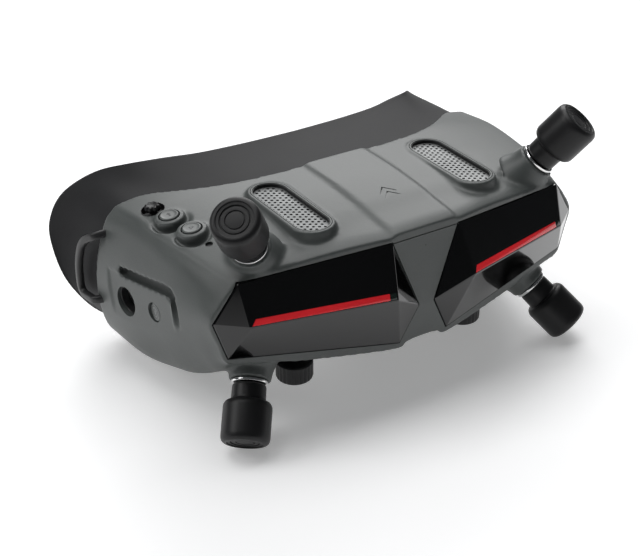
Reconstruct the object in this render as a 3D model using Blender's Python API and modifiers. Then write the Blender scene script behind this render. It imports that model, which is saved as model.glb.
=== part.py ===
"""FPV goggles: a moulded casing with faceted front covers, two adjustable optics, four stub
antennas, a flared face shield and the controls on the wearer's right-hand end.

Design axes, in millimetres until a point is placed: +X to the right when the front is faced,
-Y out of the front, +Z up, with the tips of the front covers at y = 0.  Everything hangs from
one empty, which moves the design axes to the middle of the footprint, at the lowest point.
"""

import math

import bmesh
import bpy
import numpy as np
from mathutils import Matrix, Vector

MM = 0.001

# Driving dimensions, in millimetres
GAP = 0.35
WALL = 2.2
DEPTH_MIDDLE = 43.04
HEIGHT_DOWN = 48.6
V_APEX = -15.05
V_SLOPE = 0.1985
FRONT_SET_BACK = 2.2
LIP_SET_BACK = 0.3
WAIST_TOP = 13.8
WAIST_BOTTOM = 10.1
TOP_SHARES = (0.0, 0.2, 0.4, 0.58, 0.74, 0.86, 0.96)
TOP_POINTS = len(TOP_SHARES) + 1
FRONT_COVER_EDGE = 1.8
TOP_POWER = 2.2

ANTENNA_LENGTH = 22.0
NECK_RADIUS = 6.0
HEAD_RADIUS = 8.5
NECK_LENGTH = 7.0
RING_RADIUS = 6.5
RING_HEIGHT = 1.0
STUD_RADIUS = 3.1
BOSS_LENGTH = 9.0
TOP_ANTENNA = ((60.4, 2.4, 23.7), (0.469, -0.428, 0.773))
BOTTOM_ANTENNA = ((61.6, 2.4, -28.5), (0.457, -0.602, -0.654))

VENT_CENTRE = (34.0, 19.8)
VENT_STRAIGHT = 27.0
VENT_OUTER = 7.0
VENT_INNER = 5.0
VENT_TOP = 23.7
HOLE_PITCH = 3.1

OPTIC_X = 32.0
OPTIC_Z = -5.0
BARREL_RADIUS = 16.0
BARREL_BORE = 14.2
BARREL_FRONT = 15.0
BARREL_REAR = 49.0
FLANGE_RADIUS = 16.9
CARRIAGE_RADIUS = 18.4
IPD_IN = 3.0
IPD_OUT = 4.0
RAIL_RADIUS = 1.5
RAIL_Y = 30.0
RAIL_OFFSET = 20.2
COVER_Y = 42.1
COVER_THICKNESS = 2.2
COVER_STEP = 19.0
SCREW_SPOTS = ((67.0, 6.0), (-67.0, 6.0), (67.0, -26.0), (-67.0, -26.0))
KNOB_X = 37.5
KNOB_Y = 12.5
KNOB_RADIUS = 6.8

STICK = (-70.0, 52.5)
BUTTONS = {"return": (-68.6, 42.5), "record": (-66.6, 30.0)}
LED = (-65.6, 20.2)
JACK = (-81.0, 52.5, -14.4)
POWER = (-80.8, 33.0, -10.2)
POCKET_X = -80.6

# Casing: one row for each control curve, as (x, z) at the stations along Y
STATIONS = (-15.0, 0.0, 10.0, 28.0, 48.0, 68.4)
TOP_LINE = (19.2, 21.2, 22.6, 23.6, 23.6, 22.8)
CREASE = ((61.0, 12.3), (67.6, 14.2), (70.5, 15.3), (74.5, 16.6), (77.2, 16.6), (77.8, 14.6))
FLANK = (
    ((68.0, 7.0), (72.8, 7.4), (75.0, 8.6), (78.0, 9.8), (80.2, 10.0), (82.2, 8.8)),
    ((74.0, 0.0), (76.8, 0.0), (78.4, -2.0), (81.4, -4.2), (84.2, -5.2), (86.2, -5.8)),
    ((72.0, -9.0), (74.2, -9.0), (76.0, -14.0), (79.8, -19.5), (83.6, -21.0), (86.5, -21.5)),
    ((69.0, -15.5), (71.6, -16.2), (70.5, -25.0), (74.5, -33.2), (80.0, -35.4), (82.4, -34.6)),
)
KEEL = (
    ((62.0, -18.5), (64.0, -18.6), (62.5, -26.6), (64.0, -35.8), (69.0, -38.3), (72.0, -38.8)),
    ((35.0, -22.6), (38.0, -22.6), (38.0, -27.8), (41.0, -36.5), (46.0, -38.6), (48.0, -38.8)),
    ((11.0, -25.0), (12.0, -25.2), (14.0, -27.4), (20.0, -32.5), (25.0, -33.0), (28.0, -33.0)),
    ((6.5, -21.0), (6.5, -21.6), (7.5, -23.0), (10.0, -20.5), (13.0, -14.5), (14.0, -12.5)),
    ((0.0, -20.4), (0.0, -21.2), (0.0, -21.6), (0.0, -16.5), (0.0, -8.5), (0.0, -6.0)),
)
REAR_EDGE_X = (0.0, 13.5, 36.0, 46.6, 56.0, 70.0, 78.0, 90.0)
REAR_EDGE_Y = (44.5, 44.5, 51.0, 57.0, 61.5, 66.0, 68.4, 68.4)

# Front covers: outline from the upper inner corner, clockwise when faced, and the two ridge ends
COVER_OUTLINE = (
    (13.8, 17.7),
    (67.1, 13.6),
    (76.0, 0.0),
    (71.3, -14.3),
    (10.1, -22.4),
    (3.3, -8.5),
)
STRIP_TALL = (2.9, 2.8)
STRIP_END = 2.8
RIDGE = ((16.2, -20.0, 0.2), (66.0, -7.2, -0.7))

# The hourglass between the covers: height, half width, where the covers' edges are, and thickness
WAIST = (
    (-20.3, 8.4, 9.1, 1.5),
    (-17.4, 6.9, 7.65, 1.6),
    (-8.5, 2.8, 3.3, 2.2),
    (16.4, 12.6, 13.8, 1.6),
)

# Face shield rim, from the top middle round the side to the nose, and the foot ring it grows from
RIM = (
    (0.0, 72.0, 23.8),
    (20.0, 73.4, 23.4),
    (38.0, 77.0, 22.4),
    (50.0, 82.0, 21.4),
    (62.0, 88.0, 19.6),
    (70.0, 96.5, 15.6),
    (77.0, 102.6, 11.0),
    (83.0, 106.0, 6.0),
    (88.0, 104.6, 0.6),
    (91.4, 98.5, -6.5),
    (91.6, 90.5, -17.0),
    (88.0, 86.0, -26.0),
    (80.0, 84.0, -36.0),
    (66.0, 82.5, -45.0),
    (50.0, 81.0, -48.6),
    (36.0, 79.5, -46.0),
    (25.0, 77.5, -37.0),
    (15.0, 75.5, -25.0),
    (7.0, 74.0, -15.5),
    (0.0, 73.5, -13.0),
)
FOOT = (
    (0.0, 22.2),
    (16.0, 22.0),
    (32.0, 21.0),
    (46.0, 19.2),
    (58.0, 17.2),
    (67.0, 15.6),
    (74.0, 13.6),
    (79.4, 9.4),
    (82.4, 3.0),
    (84.4, -6.0),
    (84.8, -18.0),
    (83.0, -27.0),
    (77.0, -34.0),
    (64.0, -37.2),
    (50.0, -37.2),
    (38.0, -35.0),
    (28.0, -31.4),
    (17.4, -21.6),
    (8.0, -10.0),
    (0.0, -7.4),
)

COLOURS = {
    "casing": (0.085, 0.092, 0.090),
    "gloss": (0.006, 0.006, 0.007),
    "red": (0.60, 0.025, 0.03),
    "antenna": (0.022, 0.022, 0.023),
    "bright": (0.75, 0.75, 0.75),
    "shield": (0.035, 0.035, 0.037),
    "foam": (0.02, 0.02, 0.02),
    "grille": (0.42, 0.43, 0.43),
    "dark": (0.012, 0.012, 0.013),
    "board": (0.01, 0.09, 0.035),
    "glass": (0.7, 0.75, 0.78),
    "light": (0.8, 0.8, 0.75),
}
ROUGHNESS = {"gloss": 0.08, "casing": 0.45, "glass": 0.03, "bright": 0.15, "foam": 0.95}
METALLIC = {"bright": 1.0, "grille": 1.0}

for leftover in list(bpy.data.objects):
    bpy.data.objects.remove(leftover)

parts = bpy.data.collections.new("fpv_goggles")
cutters = bpy.data.collections.new("cutters")
bpy.context.scene.collection.children.link(parts)
bpy.context.scene.collection.children.link(cutters)

design = bpy.data.objects.new("design_axes", None)
design.location = (0.0, -DEPTH_MIDDLE * MM, HEIGHT_DOWN * MM)
parts.objects.link(design)


def material(name):
    """The Principled material of one finish, made once."""
    found = bpy.data.materials.get(name)
    if found:
        return found
    made = bpy.data.materials.new(name)
    made.use_nodes = True
    shader = made.node_tree.nodes["Principled BSDF"]
    shader.inputs["Base Color"].default_value = (*COLOURS[name], 1.0)
    shader.inputs["Roughness"].default_value = ROUGHNESS.get(name, 0.5)
    shader.inputs["Metallic"].default_value = METALLIC.get(name, 0.0)
    return made


def aim(direction):
    """Rotation that turns local +Z to the direction given."""
    return Vector(direction).normalized().to_track_quat("Z", "Y").to_matrix().to_4x4()


def place(name, data, finish, at=(0, 0, 0), turn=None, cutter=False):
    """Puts mesh or curve data in the scene as a part or a cutter; at is in millimetres."""
    thing = bpy.data.objects.new(name, data)
    thing.parent = design
    thing.matrix_basis = Matrix.Translation(Vector(at) * MM) @ (turn or Matrix())
    if cutter:
        cutters.objects.link(thing)
        thing.hide_render = True
        thing.display_type = "WIRE"
        return thing
    parts.objects.link(thing)
    data.materials.append(material(finish))
    if isinstance(data, bpy.types.Mesh):
        data.shade_smooth()
        data.set_sharp_from_angle(angle=math.radians(35))
    return thing


def mesh_from(name, points, faces):
    """A mesh of millimetre points, with its normals made to agree."""
    shape = bmesh.new()
    corners = [shape.verts.new(Vector(point) * MM) for point in points]
    for face in faces:
        shape.faces.new([corners[index] for index in face])
    bmesh.ops.recalc_face_normals(shape, faces=shape.faces)
    data = bpy.data.meshes.new(name)
    shape.to_mesh(data)
    shape.free()
    return data


def loft(name, rings, wrap=True, caps=True):
    """A skin through rings of equally many points; wrap closes each ring on itself."""
    count = len(rings[0])
    points = [point for ring in rings for point in ring]
    sides = count if wrap else count - 1
    faces = []
    for row in range(len(rings) - 1):
        for column in range(sides):
            after = (column + 1) % count
            low = row * count
            faces.append((low + column, low + after, low + count + after, low + count + column))
    if caps:
        faces.append(tuple(reversed(range(count))))
        faces.append(tuple(range(len(points) - count, len(points))))
    return mesh_from(name, points, faces)


def box(name, size, centre=(0, 0, 0)):
    """A box primitive, its size and centre in millimetres."""
    shape = bmesh.new()
    scale = Matrix.Diagonal((*(Vector(size) * MM), 1.0))
    bmesh.ops.create_cube(shape, size=1.0, matrix=Matrix.Translation(Vector(centre) * MM) @ scale)
    data = bpy.data.meshes.new(name)
    shape.to_mesh(data)
    shape.free()
    return data


def cylinder(name, radius, low, high, sides=24, upper=None):
    """A cylinder or cone along Z between two heights, in millimetres."""
    shape = bmesh.new()
    bmesh.ops.create_cone(
        shape,
        cap_ends=True,
        segments=sides,
        radius1=radius * MM,
        radius2=(radius if upper is None else upper) * MM,
        depth=(high - low) * MM,
        matrix=Matrix.Translation((0, 0, (high + low) / 2 * MM)),
    )
    data = bpy.data.meshes.new(name)
    shape.to_mesh(data)
    shape.free()
    return data


def turned(name, profile, steps=24):
    """A Screw body: the profile of (radius, height) runs down the outside, top to bottom."""
    data = bpy.data.meshes.new(name)
    points = [(radius * MM, 0.0, height * MM) for radius, height in profile]
    data.from_pydata(points, [(i, i + 1) for i in range(len(points) - 1)], [])
    source = bpy.data.objects.new(name, data)
    bpy.context.scene.collection.objects.link(source)
    screw = source.modifiers.new("Turn", "SCREW")
    screw.steps = steps
    screw.render_steps = steps
    screw.use_merge_vertices = True
    screw.merge_threshold = 0.00001
    return baked(source, name)


def baked(source, name):
    """The evaluated mesh of an object, welded, with the source object removed."""
    bpy.context.view_layer.update()
    graph = bpy.context.evaluated_depsgraph_get()
    data = bpy.data.meshes.new_from_object(source.evaluated_get(graph))
    data.name = name
    shape = bmesh.new()
    shape.from_mesh(data)
    bmesh.ops.remove_doubles(shape, verts=shape.verts, dist=0.00001)
    shape.to_mesh(data)
    shape.free()
    data.materials.clear()
    bpy.data.objects.remove(source)
    return data


def flat(name, outline, thickness, holes=()):
    """A plate from a 2D curve in XY, centred on z = 0, with any holes as further splines."""
    curve = bpy.data.curves.new(name, "CURVE")
    curve.dimensions = "2D"
    curve.fill_mode = "BOTH"
    curve.extrude = thickness / 2 * MM
    for edge in (outline, *holes):
        spline = curve.splines.new("POLY")
        spline.points.add(len(edge) - 1)
        for point, (x, y) in zip(spline.points, edge):
            point.co = (x * MM, y * MM, 0.0, 1.0)
        spline.use_cyclic_u = True
    source = bpy.data.objects.new(name, curve)
    bpy.context.scene.collection.objects.link(source)
    return baked(source, name)


def rod(name, route, radius):
    """A round wire through millimetre points, with filled ends."""
    curve = bpy.data.curves.new(name, "CURVE")
    curve.dimensions = "3D"
    curve.bevel_depth = radius * MM
    curve.bevel_resolution = 2
    curve.use_fill_caps = True
    spline = curve.splines.new("POLY")
    spline.points.add(len(route) - 1)
    for point, place_at in zip(spline.points, route):
        point.co = (*(Vector(place_at) * MM), 1.0)
    source = bpy.data.objects.new(name, curve)
    bpy.context.scene.collection.objects.link(source)
    return baked(source, name)


def bevel(thing, width, segments=2, angle=30.0):
    """Rounds the edges sharper than the angle."""
    rounding = thing.modifiers.new("Round", "BEVEL")
    rounding.width = width * MM
    rounding.segments = segments
    rounding.limit_method = "ANGLE"
    rounding.angle_limit = math.radians(angle)
    return thing


def boolean(thing, other, operation="DIFFERENCE"):
    step = thing.modifiers.new(operation.title(), "BOOLEAN")
    step.operation = operation
    step.object = other
    return thing


def circle(radius, count=24, centre=(0.0, 0.0)):
    angles = [2 * math.pi * step / count for step in range(count)]
    return [
        (centre[0] + radius * math.cos(angle), centre[1] + radius * math.sin(angle))
        for angle in angles
    ]


def stadium(radius, straight, centre=(0.0, 0.0), along_x=False, count=8):
    """Outline of a slot with round ends, its straight sides along Y unless along_x."""
    outline = []
    for end in (1, -1):
        for step in range(count):
            angle = math.pi * (step / (count - 1)) + (0 if end > 0 else math.pi)
            x = radius * math.cos(angle)
            y = radius * math.sin(angle) + end * straight / 2
            outline.append((x, y) if not along_x else (-y, x))
    return [(centre[0] + x, centre[1] + y) for x, y in outline]


def spread(row, y):
    """The control point of one casing curve at a station along Y."""
    xs = np.interp(y, STATIONS, [point[0] for point in row])
    zs = np.interp(y, STATIONS, [point[1] for point in row])
    return float(xs), float(zs)


def top_z(x, y):
    """Height of the casing's outer top face."""
    peak = float(np.interp(y, STATIONS, TOP_LINE))
    edge_x, edge_z = spread(CREASE, y)
    return peak - (peak - edge_z) * (abs(x) / edge_x) ** TOP_POWER


def through(points, samples):
    """A Catmull-Rom curve through the points, with so many samples to a span."""
    ends = [points[0], *points, points[-1]]
    curve = []
    for span in range(len(points) - 1):
        before, start, end, after = (np.array(point) for point in ends[span : span + 4])
        for step in range(samples):
            t = step / samples
            curve.append(
                0.5
                * (
                    2 * start
                    + (end - before) * t
                    + (2 * before - 5 * start + 4 * end - after) * t**2
                    + (3 * start - before - 3 * end + after) * t**3
                )
            )
    curve.append(np.array(points[-1]))
    return curve


def half_section(y):
    """The casing's right half at one y: from the top middle, round the end, to the bottom middle."""
    edge_x, edge_z = spread(CREASE, y)
    top = [(edge_x * t, top_z(edge_x * t, y)) for t in TOP_SHARES]
    flank = [spread(row, y) for row in FLANK]
    keel = [spread(row, y) for row in KEEL]
    corner = np.array((edge_x, edge_z))
    down = np.array(flank[0]) - corner
    inward = np.array(top[-1]) - corner
    soft = corner + 0.18 * (down + inward)
    after = corner + 0.38 * down
    rest = through([tuple(after), *flank, *keel], 2)
    return [*map(np.array, top), soft, *rest]


def casing_ring(v):
    """One ring of the casing's skin: v is 0 at the front edge and 1 at the rear edge."""
    ring = []
    for index in range(len(half_section(0.0))):
        y = 20.0
        for _ in range(5):
            x, z = half_section(y)[index]
            if index < TOP_POINTS:
                front = V_APEX + V_SLOPE * max(x, WAIST_TOP) + LIP_SET_BACK
            else:
                front = V_APEX + V_SLOPE * max(x, WAIST_BOTTOM) + FRONT_SET_BACK
            y = (1 - v) * front + v * float(np.interp(x, REAR_EDGE_X, REAR_EDGE_Y))
        ring.append((float(x), y, float(z)))
    return ring


def shield_point(index, w, inset=0.0):
    """A point on the face shield's skin: w is 0 at the foot and 1 at the rim."""
    foot_x, foot_z = FOOT[index]
    foot = np.array((foot_x, float(np.interp(foot_x, REAR_EDGE_X, REAR_EDGE_Y)) + GAP, foot_z))
    rim = np.array(RIM[index])
    bend = foot + np.array((0.12, 0.55, 0.12)) * (rim - foot)
    point = (1 - w) ** 2 * foot + 2 * w * (1 - w) * bend + w**2 * rim
    before = np.array(RIM[max(index - 1, 0)])
    after = np.array(RIM[min(index + 1, len(RIM) - 1)])
    tangent = after - before
    normal = np.array((tangent[2], 0.0, -tangent[0]))
    normal = normal / np.linalg.norm(normal)
    return point + inset * normal


def mirror_x(thing):
    reflect = thing.modifiers.new("Other half", "MIRROR")
    reflect.use_axis[0] = True
    reflect.merge_threshold = 0.00001
    return thing


def sided(point, side):
    return (point[0] * side, point[1], point[2])


SIDES = {"right": 1, "left": -1}
UP_TILT = Vector((-0.16, 0.0, 1.0)).normalized()
POCKET_OUT = Vector((-1.0, 0.0, 0.0))


def seat(xy, lift=0.0):
    """A point above the casing's top face, along the controls' own tilt."""
    base = Vector((xy[0], xy[1], top_z(*xy)))
    return base + UP_TILT * lift


def add_casing():
    """The sleeve, its bosses for antennas and buttons, and every hole through it."""
    rings = [casing_ring(v) for v in (0.0, 0.12, 0.26, 0.4, 0.55, 0.7, 0.85, 1.0)]
    skin = loft("front_housing", rings, wrap=False, caps=False)
    casing = place("front_housing", skin, "casing")
    mirror_x(casing)
    solid = casing.modifiers.new("Wall", "SOLIDIFY")
    solid.thickness = WALL * MM
    solid.offset = -1.0
    solid.use_even_offset = True

    for side_name, side in SIDES.items():
        for level, (ring, axis) in (("top", TOP_ANTENNA), ("bottom", BOTTOM_ANTENNA)):
            boss = cylinder("boss", 9.4, 2.0 - BOSS_LENGTH, -GAP, 16, upper=7.2)
            turn = aim(sided(axis, side))
            shape = place(f"boss_{level}_{side_name}", boss, None, sided(ring, side), turn, True)
            boolean(casing, shape, "UNION")
    for label, xy in BUTTONS.items():
        boss = cylinder("boss", 6.0, -5.0, 2.0, 20, upper=5.4)
        shape = place(f"boss_{label}", boss, None, seat(xy), aim(UP_TILT), True)
        boolean(casing, shape, "UNION")

    for side_name, side in SIDES.items():
        for level, (ring, axis) in (("top", TOP_ANTENNA), ("bottom", BOTTOM_ANTENNA)):
            bore = cylinder("bore", STUD_RADIUS + GAP, -BOSS_LENGTH - 8, 3.0, 12)
            turn = aim(sided(axis, side))
            boolean(casing, place(f"bore_{level}_{side_name}", bore, None, sided(ring, side), turn, True))
        slot = flat("slot", stadium(VENT_OUTER + GAP, VENT_STRAIGHT), 20.0)
        at = (side * VENT_CENTRE[0], VENT_CENTRE[1], VENT_TOP)
        boolean(casing, place(f"vent_cut_{side_name}", slot, None, at, None, True))
        slot = flat("slot", stadium(2.6, IPD_IN + IPD_OUT, along_x=True), 16.0)
        at = (side * (KNOB_X + (IPD_OUT - IPD_IN) / 2), KNOB_Y, -29.0)
        boolean(casing, place(f"knob_slot_{side_name}", slot, None, at, None, True))
    for label, xy in BUTTONS.items():
        bore = cylinder("bore", 3.9, -9.0, 5.0, 20)
        boolean(casing, place(f"bore_{label}", bore, None, seat(xy), aim(UP_TILT), True))
    bore = cylinder("bore", 4.2, -9.0, 4.0, 20)
    boolean(casing, place("bore_stick", bore, None, seat(STICK), aim(UP_TILT), True))
    bore = cylinder("bore", 1.3, -6.0, 4.0, 12)
    boolean(casing, place("bore_led", bore, None, seat(LED), aim(UP_TILT), True))

    edge = [(0.0, 8.0), (76.0, 8.0), (67.6, 14.0), (13.8, 18.05), (0.0, 17.3)]
    clearance = place("cover_clearance", v_face(edge, -12.0, 2.15), None, cutter=True)
    boolean(casing, mirror_x(clearance))

    tilt = (
        Matrix.Translation(Vector((POCKET_X, 40.0, 0.8)) * MM)
        @ Matrix.Rotation(math.radians(-16.0), 4, "X")
        @ Matrix.Rotation(math.radians(5.0), 4, "Z")
    )
    backing = place("backing", box("backing", (10.0, 40.0, 30.0), (-3.2, -1.6, -13.0)), None, cutter=True)
    backing.matrix_basis = tilt
    rings = [interior_ring(y, 0.8) for y in (18.0, 28.0, 38.0, 48.0, 58.0, 66.0)]
    boolean(backing, place("inside", loft("inside", rings), None, cutter=True), "INTERSECT")
    boolean(casing, backing, "UNION")
    pocket = place("pocket", box("pocket", (20.0, 42.0, 40.0), (-10.0, 0.0, -20.0)), None, cutter=True)
    pocket.matrix_basis = tilt
    bevel(pocket, 2.0, 2)
    boolean(casing, pocket)
    bore = cylinder("bore", 5.75, -12.0, 12.0)
    boolean(casing, place("bore_jack", bore, None, JACK, aim(POCKET_OUT), True))
    bore = cylinder("bore", 3.75, -12.0, 12.0)
    boolean(casing, place("bore_power", bore, None, POWER, aim(POCKET_OUT), True))
    return casing


def v_face(outline, front, back):
    """A half plate that follows the V front: outline of (x, z), between two offsets in Y."""
    near = [(x, V_APEX + V_SLOPE * x + front, z) for x, z in outline]
    far = [(x, V_APEX + V_SLOPE * x + back, z) for x, z in outline]
    count = len(outline)
    faces = [tuple(range(count)), tuple(range(2 * count - 1, count - 1, -1))]
    for index in range(count):
        after = (index + 1) % count
        if outline[index][0] == 0.0 and outline[after][0] == 0.0:
            continue
        faces.append((index, count + index, count + after, after))
    return mesh_from("v_face", near + far, faces)


def add_front_frame():
    """The backing behind the gloss covers, joined to the hourglass between them."""
    backing = [(0.0, 13.6), (13.8, 13.4), (60.0, 10.4), (67.5, 6.8), (71.5, 0.0), (68.8, -10.0)]
    backing += [(66.0, -14.6), (38.0, -19.8), (12.5, -22.2), (7.6, -18.6), (0.0, -17.8)]
    plate = mirror_x(place("front_frame", v_face(backing, 2.6, 4.6), "casing"))
    rings = []
    for height, half, edge, thick in WAIST:
        front = V_APEX + V_SLOPE * edge + LIP_SET_BACK
        back = front + thick
        across = ((-half, front), (half, front), (half, back), (-half, back))
        rings.append([(x, y, height) for x, y in across])
    boolean(plate, place("waist", loft("waist", rings), None, cutter=True), "UNION")


def add_front_covers():
    """The faceted gloss covers, with the red strip and its dark end set in a channel."""
    for side_name, side in SIDES.items():
        front = [(side * x, V_APEX + V_SLOPE * x, z) for x, z in COVER_OUTLINE]
        back = [(x, y + FRONT_COVER_EDGE, z) for x, y, z in front]
        ridge = [sided(point, side) for point in RIDGE]
        shape = bmesh.new()
        for point in front + back + ridge:
            shape.verts.new(Vector(point) * MM)
        bmesh.ops.convex_hull(shape, input=shape.verts)
        data = bpy.data.meshes.new("cover")
        shape.to_mesh(data)
        shape.free()
        cover = place(f"front_panel_{side_name}", data, "gloss")
        add_strip(cover, side_name, side)


def add_strip(cover, side_name, side):
    """A light strip lies along the upper side of the ridge; the dark end is on the +X end."""
    near, far = (np.array(sided(point, side)) for point in RIDGE)
    left, right = (near, far) if side > 0 else (far, near)
    along = (right - left) / np.linalg.norm(right - left)
    top = [np.array((side * x, V_APEX + V_SLOPE * x, z)) for x, z in COVER_OUTLINE[:2]]
    centre = (near + far) / 2
    across = (top[0] + top[1]) / 2 - centre
    across = across - along * across.dot(along)
    across = across / np.linalg.norm(across)
    out = np.cross(along, across)
    length = float(np.linalg.norm(right - left))
    turn = Matrix((along, across, out)).transposed().to_4x4()

    def tall(spot):
        share = spot / length if side > 0 else 1.0 - spot / length
        return STRIP_TALL[0] + (STRIP_TALL[1] - STRIP_TALL[0]) * share

    def channel(label, start, end, low, slack, bottom, top_at, finish=None):
        outline = [(start, low), (end, low), (end, tall(end) - slack), (start, tall(start) - slack)]
        plate = flat(label, outline, top_at - bottom)
        lift = Vector(left) + turn.to_3x3() @ Vector((0, 0, (top_at + bottom) / 2))
        return place(label, plate, finish, lift, turn, finish is None)

    split = length - STRIP_END
    last = length - 0.3
    low = 0.4
    floor = -1.2
    boolean(cover, channel(f"strip_cut_{side_name}", 0.5, last, low, 0.0, floor, 3.0))
    inner = low + GAP
    bed = floor + GAP
    channel(f"light_strip_{side_name}", 0.5 + GAP, split, inner, GAP, bed, 0.05, "red")
    channel(f"strip_end_{side_name}", split + GAP, last - GAP, inner, GAP, bed, 0.05, "dark")


def add_centre_plate():
    """The low raised plate over the middle of the top face, with ramped edges."""
    rings = []
    for y in (-11.8, -6.0, 0.0, 5.0, 10.0, 19.0, 28.0, 36.0, 43.5):
        low = top_z(0.0, y) + GAP
        high = low + 0.9
        edge = top_z(13.5, y) + GAP + 0.05
        rings.append(((-13.5, y, edge), (0.0, y, low), (13.5, y, edge), (10.4, y, high), (-10.4, y, high)))
    place("centre_plate", loft("centre_plate", rings), "casing")


def add_vents():
    for side_name, side in SIDES.items():
        at = (side * VENT_CENTRE[0], VENT_CENTRE[1])
        holes = [stadium(VENT_INNER, VENT_STRAIGHT)]
        rim = flat("bezel", stadium(VENT_OUTER, VENT_STRAIGHT), 3.6, holes)
        bezel = place(f"vent_bezel_{side_name}", rim, "casing", (*at, VENT_TOP - 1.8))
        bevel(bezel, 0.6, 1)
        holes = []
        for row in range(-4, 5):
            columns = (-0.5, 0.5) if row % 2 else (-1.0, 0.0, 1.0)
            for column in columns:
                holes.append(circle(0.8, 6, (column * HOLE_PITCH, row * HOLE_PITCH)))
        sheet = flat("grille", stadium(VENT_INNER - GAP, VENT_STRAIGHT), 0.8, holes)
        place(f"vent_grille_{side_name}", sheet, "grille", (*at, VENT_TOP - 1.9))


def add_fans():
    """Small axial fans that draw air through the vents."""
    for side_name, side in SIDES.items():
        at = (side * 34.0, 14.0, 13.9)
        square = [(-10.5, -10.5), (10.5, -10.5), (10.5, 10.5), (-10.5, 10.5)]
        case = flat("fan_frame", square, 4.6, [circle(9.6, 16)])
        place(f"fan_frame_{side_name}", case, "dark", at)
        outline = []
        blades = 7
        for blade in range(blades):
            for share, radius in ((0.0, 3.6), (0.12, 8.9), (0.52, 8.9), (0.44, 3.6)):
                angle = 2 * math.pi * (blade + share) / blades
                outline.append((radius * math.cos(angle), radius * math.sin(angle)))
        rotor = flat("fan_rotor", outline, 3.6)
        place(f"fan_rotor_{side_name}", rotor, "dark", at)


def add_antennas():
    length = ANTENNA_LENGTH
    body = [(0.0, length - 0.4), (4.5, length - 0.4), (5.0, length), (6.6, length)]
    body += [(HEAD_RADIUS - 0.5, length - 0.7), (HEAD_RADIUS, length - 2.2)]
    body += [(HEAD_RADIUS, NECK_LENGTH + 1.6), (HEAD_RADIUS - 1.2, NECK_LENGTH + 0.2)]
    body += [(NECK_RADIUS, NECK_LENGTH - 0.4), (NECK_RADIUS, RING_HEIGHT + GAP)]
    body += [(0.0, RING_HEIGHT + GAP)]
    ring = [(0.0, RING_HEIGHT), (RING_RADIUS, RING_HEIGHT), (RING_RADIUS, 0.0)]
    ring += [(STUD_RADIUS, 0.0), (STUD_RADIUS, -BOSS_LENGTH - 4.0), (0.0, -BOSS_LENGTH - 4.0)]
    antenna_mesh = turned("antenna", body, 16)
    ring_mesh = turned("sma_ring", ring, 14)
    for side_name, side in SIDES.items():
        for level, (spot, axis) in (("top", TOP_ANTENNA), ("bottom", BOTTOM_ANTENNA)):
            turn = aim(sided(axis, side))
            at = sided(spot, side)
            place(f"antenna_{level}_{side_name}", antenna_mesh.copy(), "antenna", at, turn)
            place(f"sma_ring_{level}_{side_name}", ring_mesh.copy(), "bright", at, turn)


def interior_ring(y, inset):
    """The casing's outline at one y, moved inwards, as a closed ring of points."""
    half = half_section(y)
    moved = []
    for index, point in enumerate(half):
        before = half[max(index - 1, 0)]
        after = half[min(index + 1, len(half) - 1)]
        tangent = after - before
        normal = np.array((tangent[1], -tangent[0])) / np.linalg.norm(tangent)
        if point[0] == 0.0:
            normal = np.array((0.0, -1.0 if point[1] > 0 else 1.0))
        x, z = point + inset * normal
        moved.append((max(float(x), 0.0), y, float(z)))
    return moved + [(-x, y, z) for x, y, z in reversed(moved[1:-1])]


def add_rear_cover():
    """A stepped plate behind the optics, cut to the casing's inner outline."""
    fore = [(0.0, 0.0), (53.0, 0.0), (59.0, COVER_STEP), (95.0, COVER_STEP + 1.0)]
    front = [(-x, y) for x, y in reversed(fore[1:])] + fore
    near = [(x, COVER_Y - COVER_THICKNESS / 2 + y) for x, y in front]
    far = [(x, y + COVER_THICKNESS) for x, y in reversed(near)]
    plate = place("rear_cover", flat("rear_cover", near + far, 120.0), "dark")
    rings = [interior_ring(y, WALL + 0.9) for y in (34.0, 42.0, 50.0, 58.0, 66.0)]
    boolean(plate, place("interior", loft("interior", rings), None, cutter=True), "INTERSECT")
    stand = Matrix.Rotation(math.radians(90.0), 4, "X")
    for side_name, side in SIDES.items():
        middle = side * (OPTIC_X + (IPD_OUT - IPD_IN) / 2)
        slot = stadium(BARREL_RADIUS + 0.5, IPD_IN + IPD_OUT, along_x=True, count=12)
        cut = flat("slot", slot, 12.0)
        at = (middle, COVER_Y, OPTIC_Z)
        boolean(plate, place(f"cover_slot_{side_name}", cut, None, at, stand, True))
    for number, (x, z) in enumerate(SCREW_SPOTS, 1):
        bore = cylinder("bore", 1.6, -6.0, 6.0, 10)
        at = (x, COVER_Y + COVER_STEP, z)
        boolean(plate, place(f"cover_bore_{number}", bore, None, at, aim((0, 1, 0)), True))


def add_screws():
    head = COVER_THICKNESS / 2 + 0.4 + GAP
    profile = [(0.0, head + 0.8), (0.9, head + 0.8), (1.2, head + 1.6), (2.6, head + 1.4)]
    profile += [(2.6, head), (1.25, head), (1.25, -6.0), (0.0, -6.0)]
    screw = turned("cover_screw", profile, 8)
    turn = aim((0, 1, 0))
    for number, (x, z) in enumerate(SCREW_SPOTS, 1):
        place(f"cover_screw_{number}", screw.copy(), "bright", (x, COVER_Y + COVER_STEP, z), turn)


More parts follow.
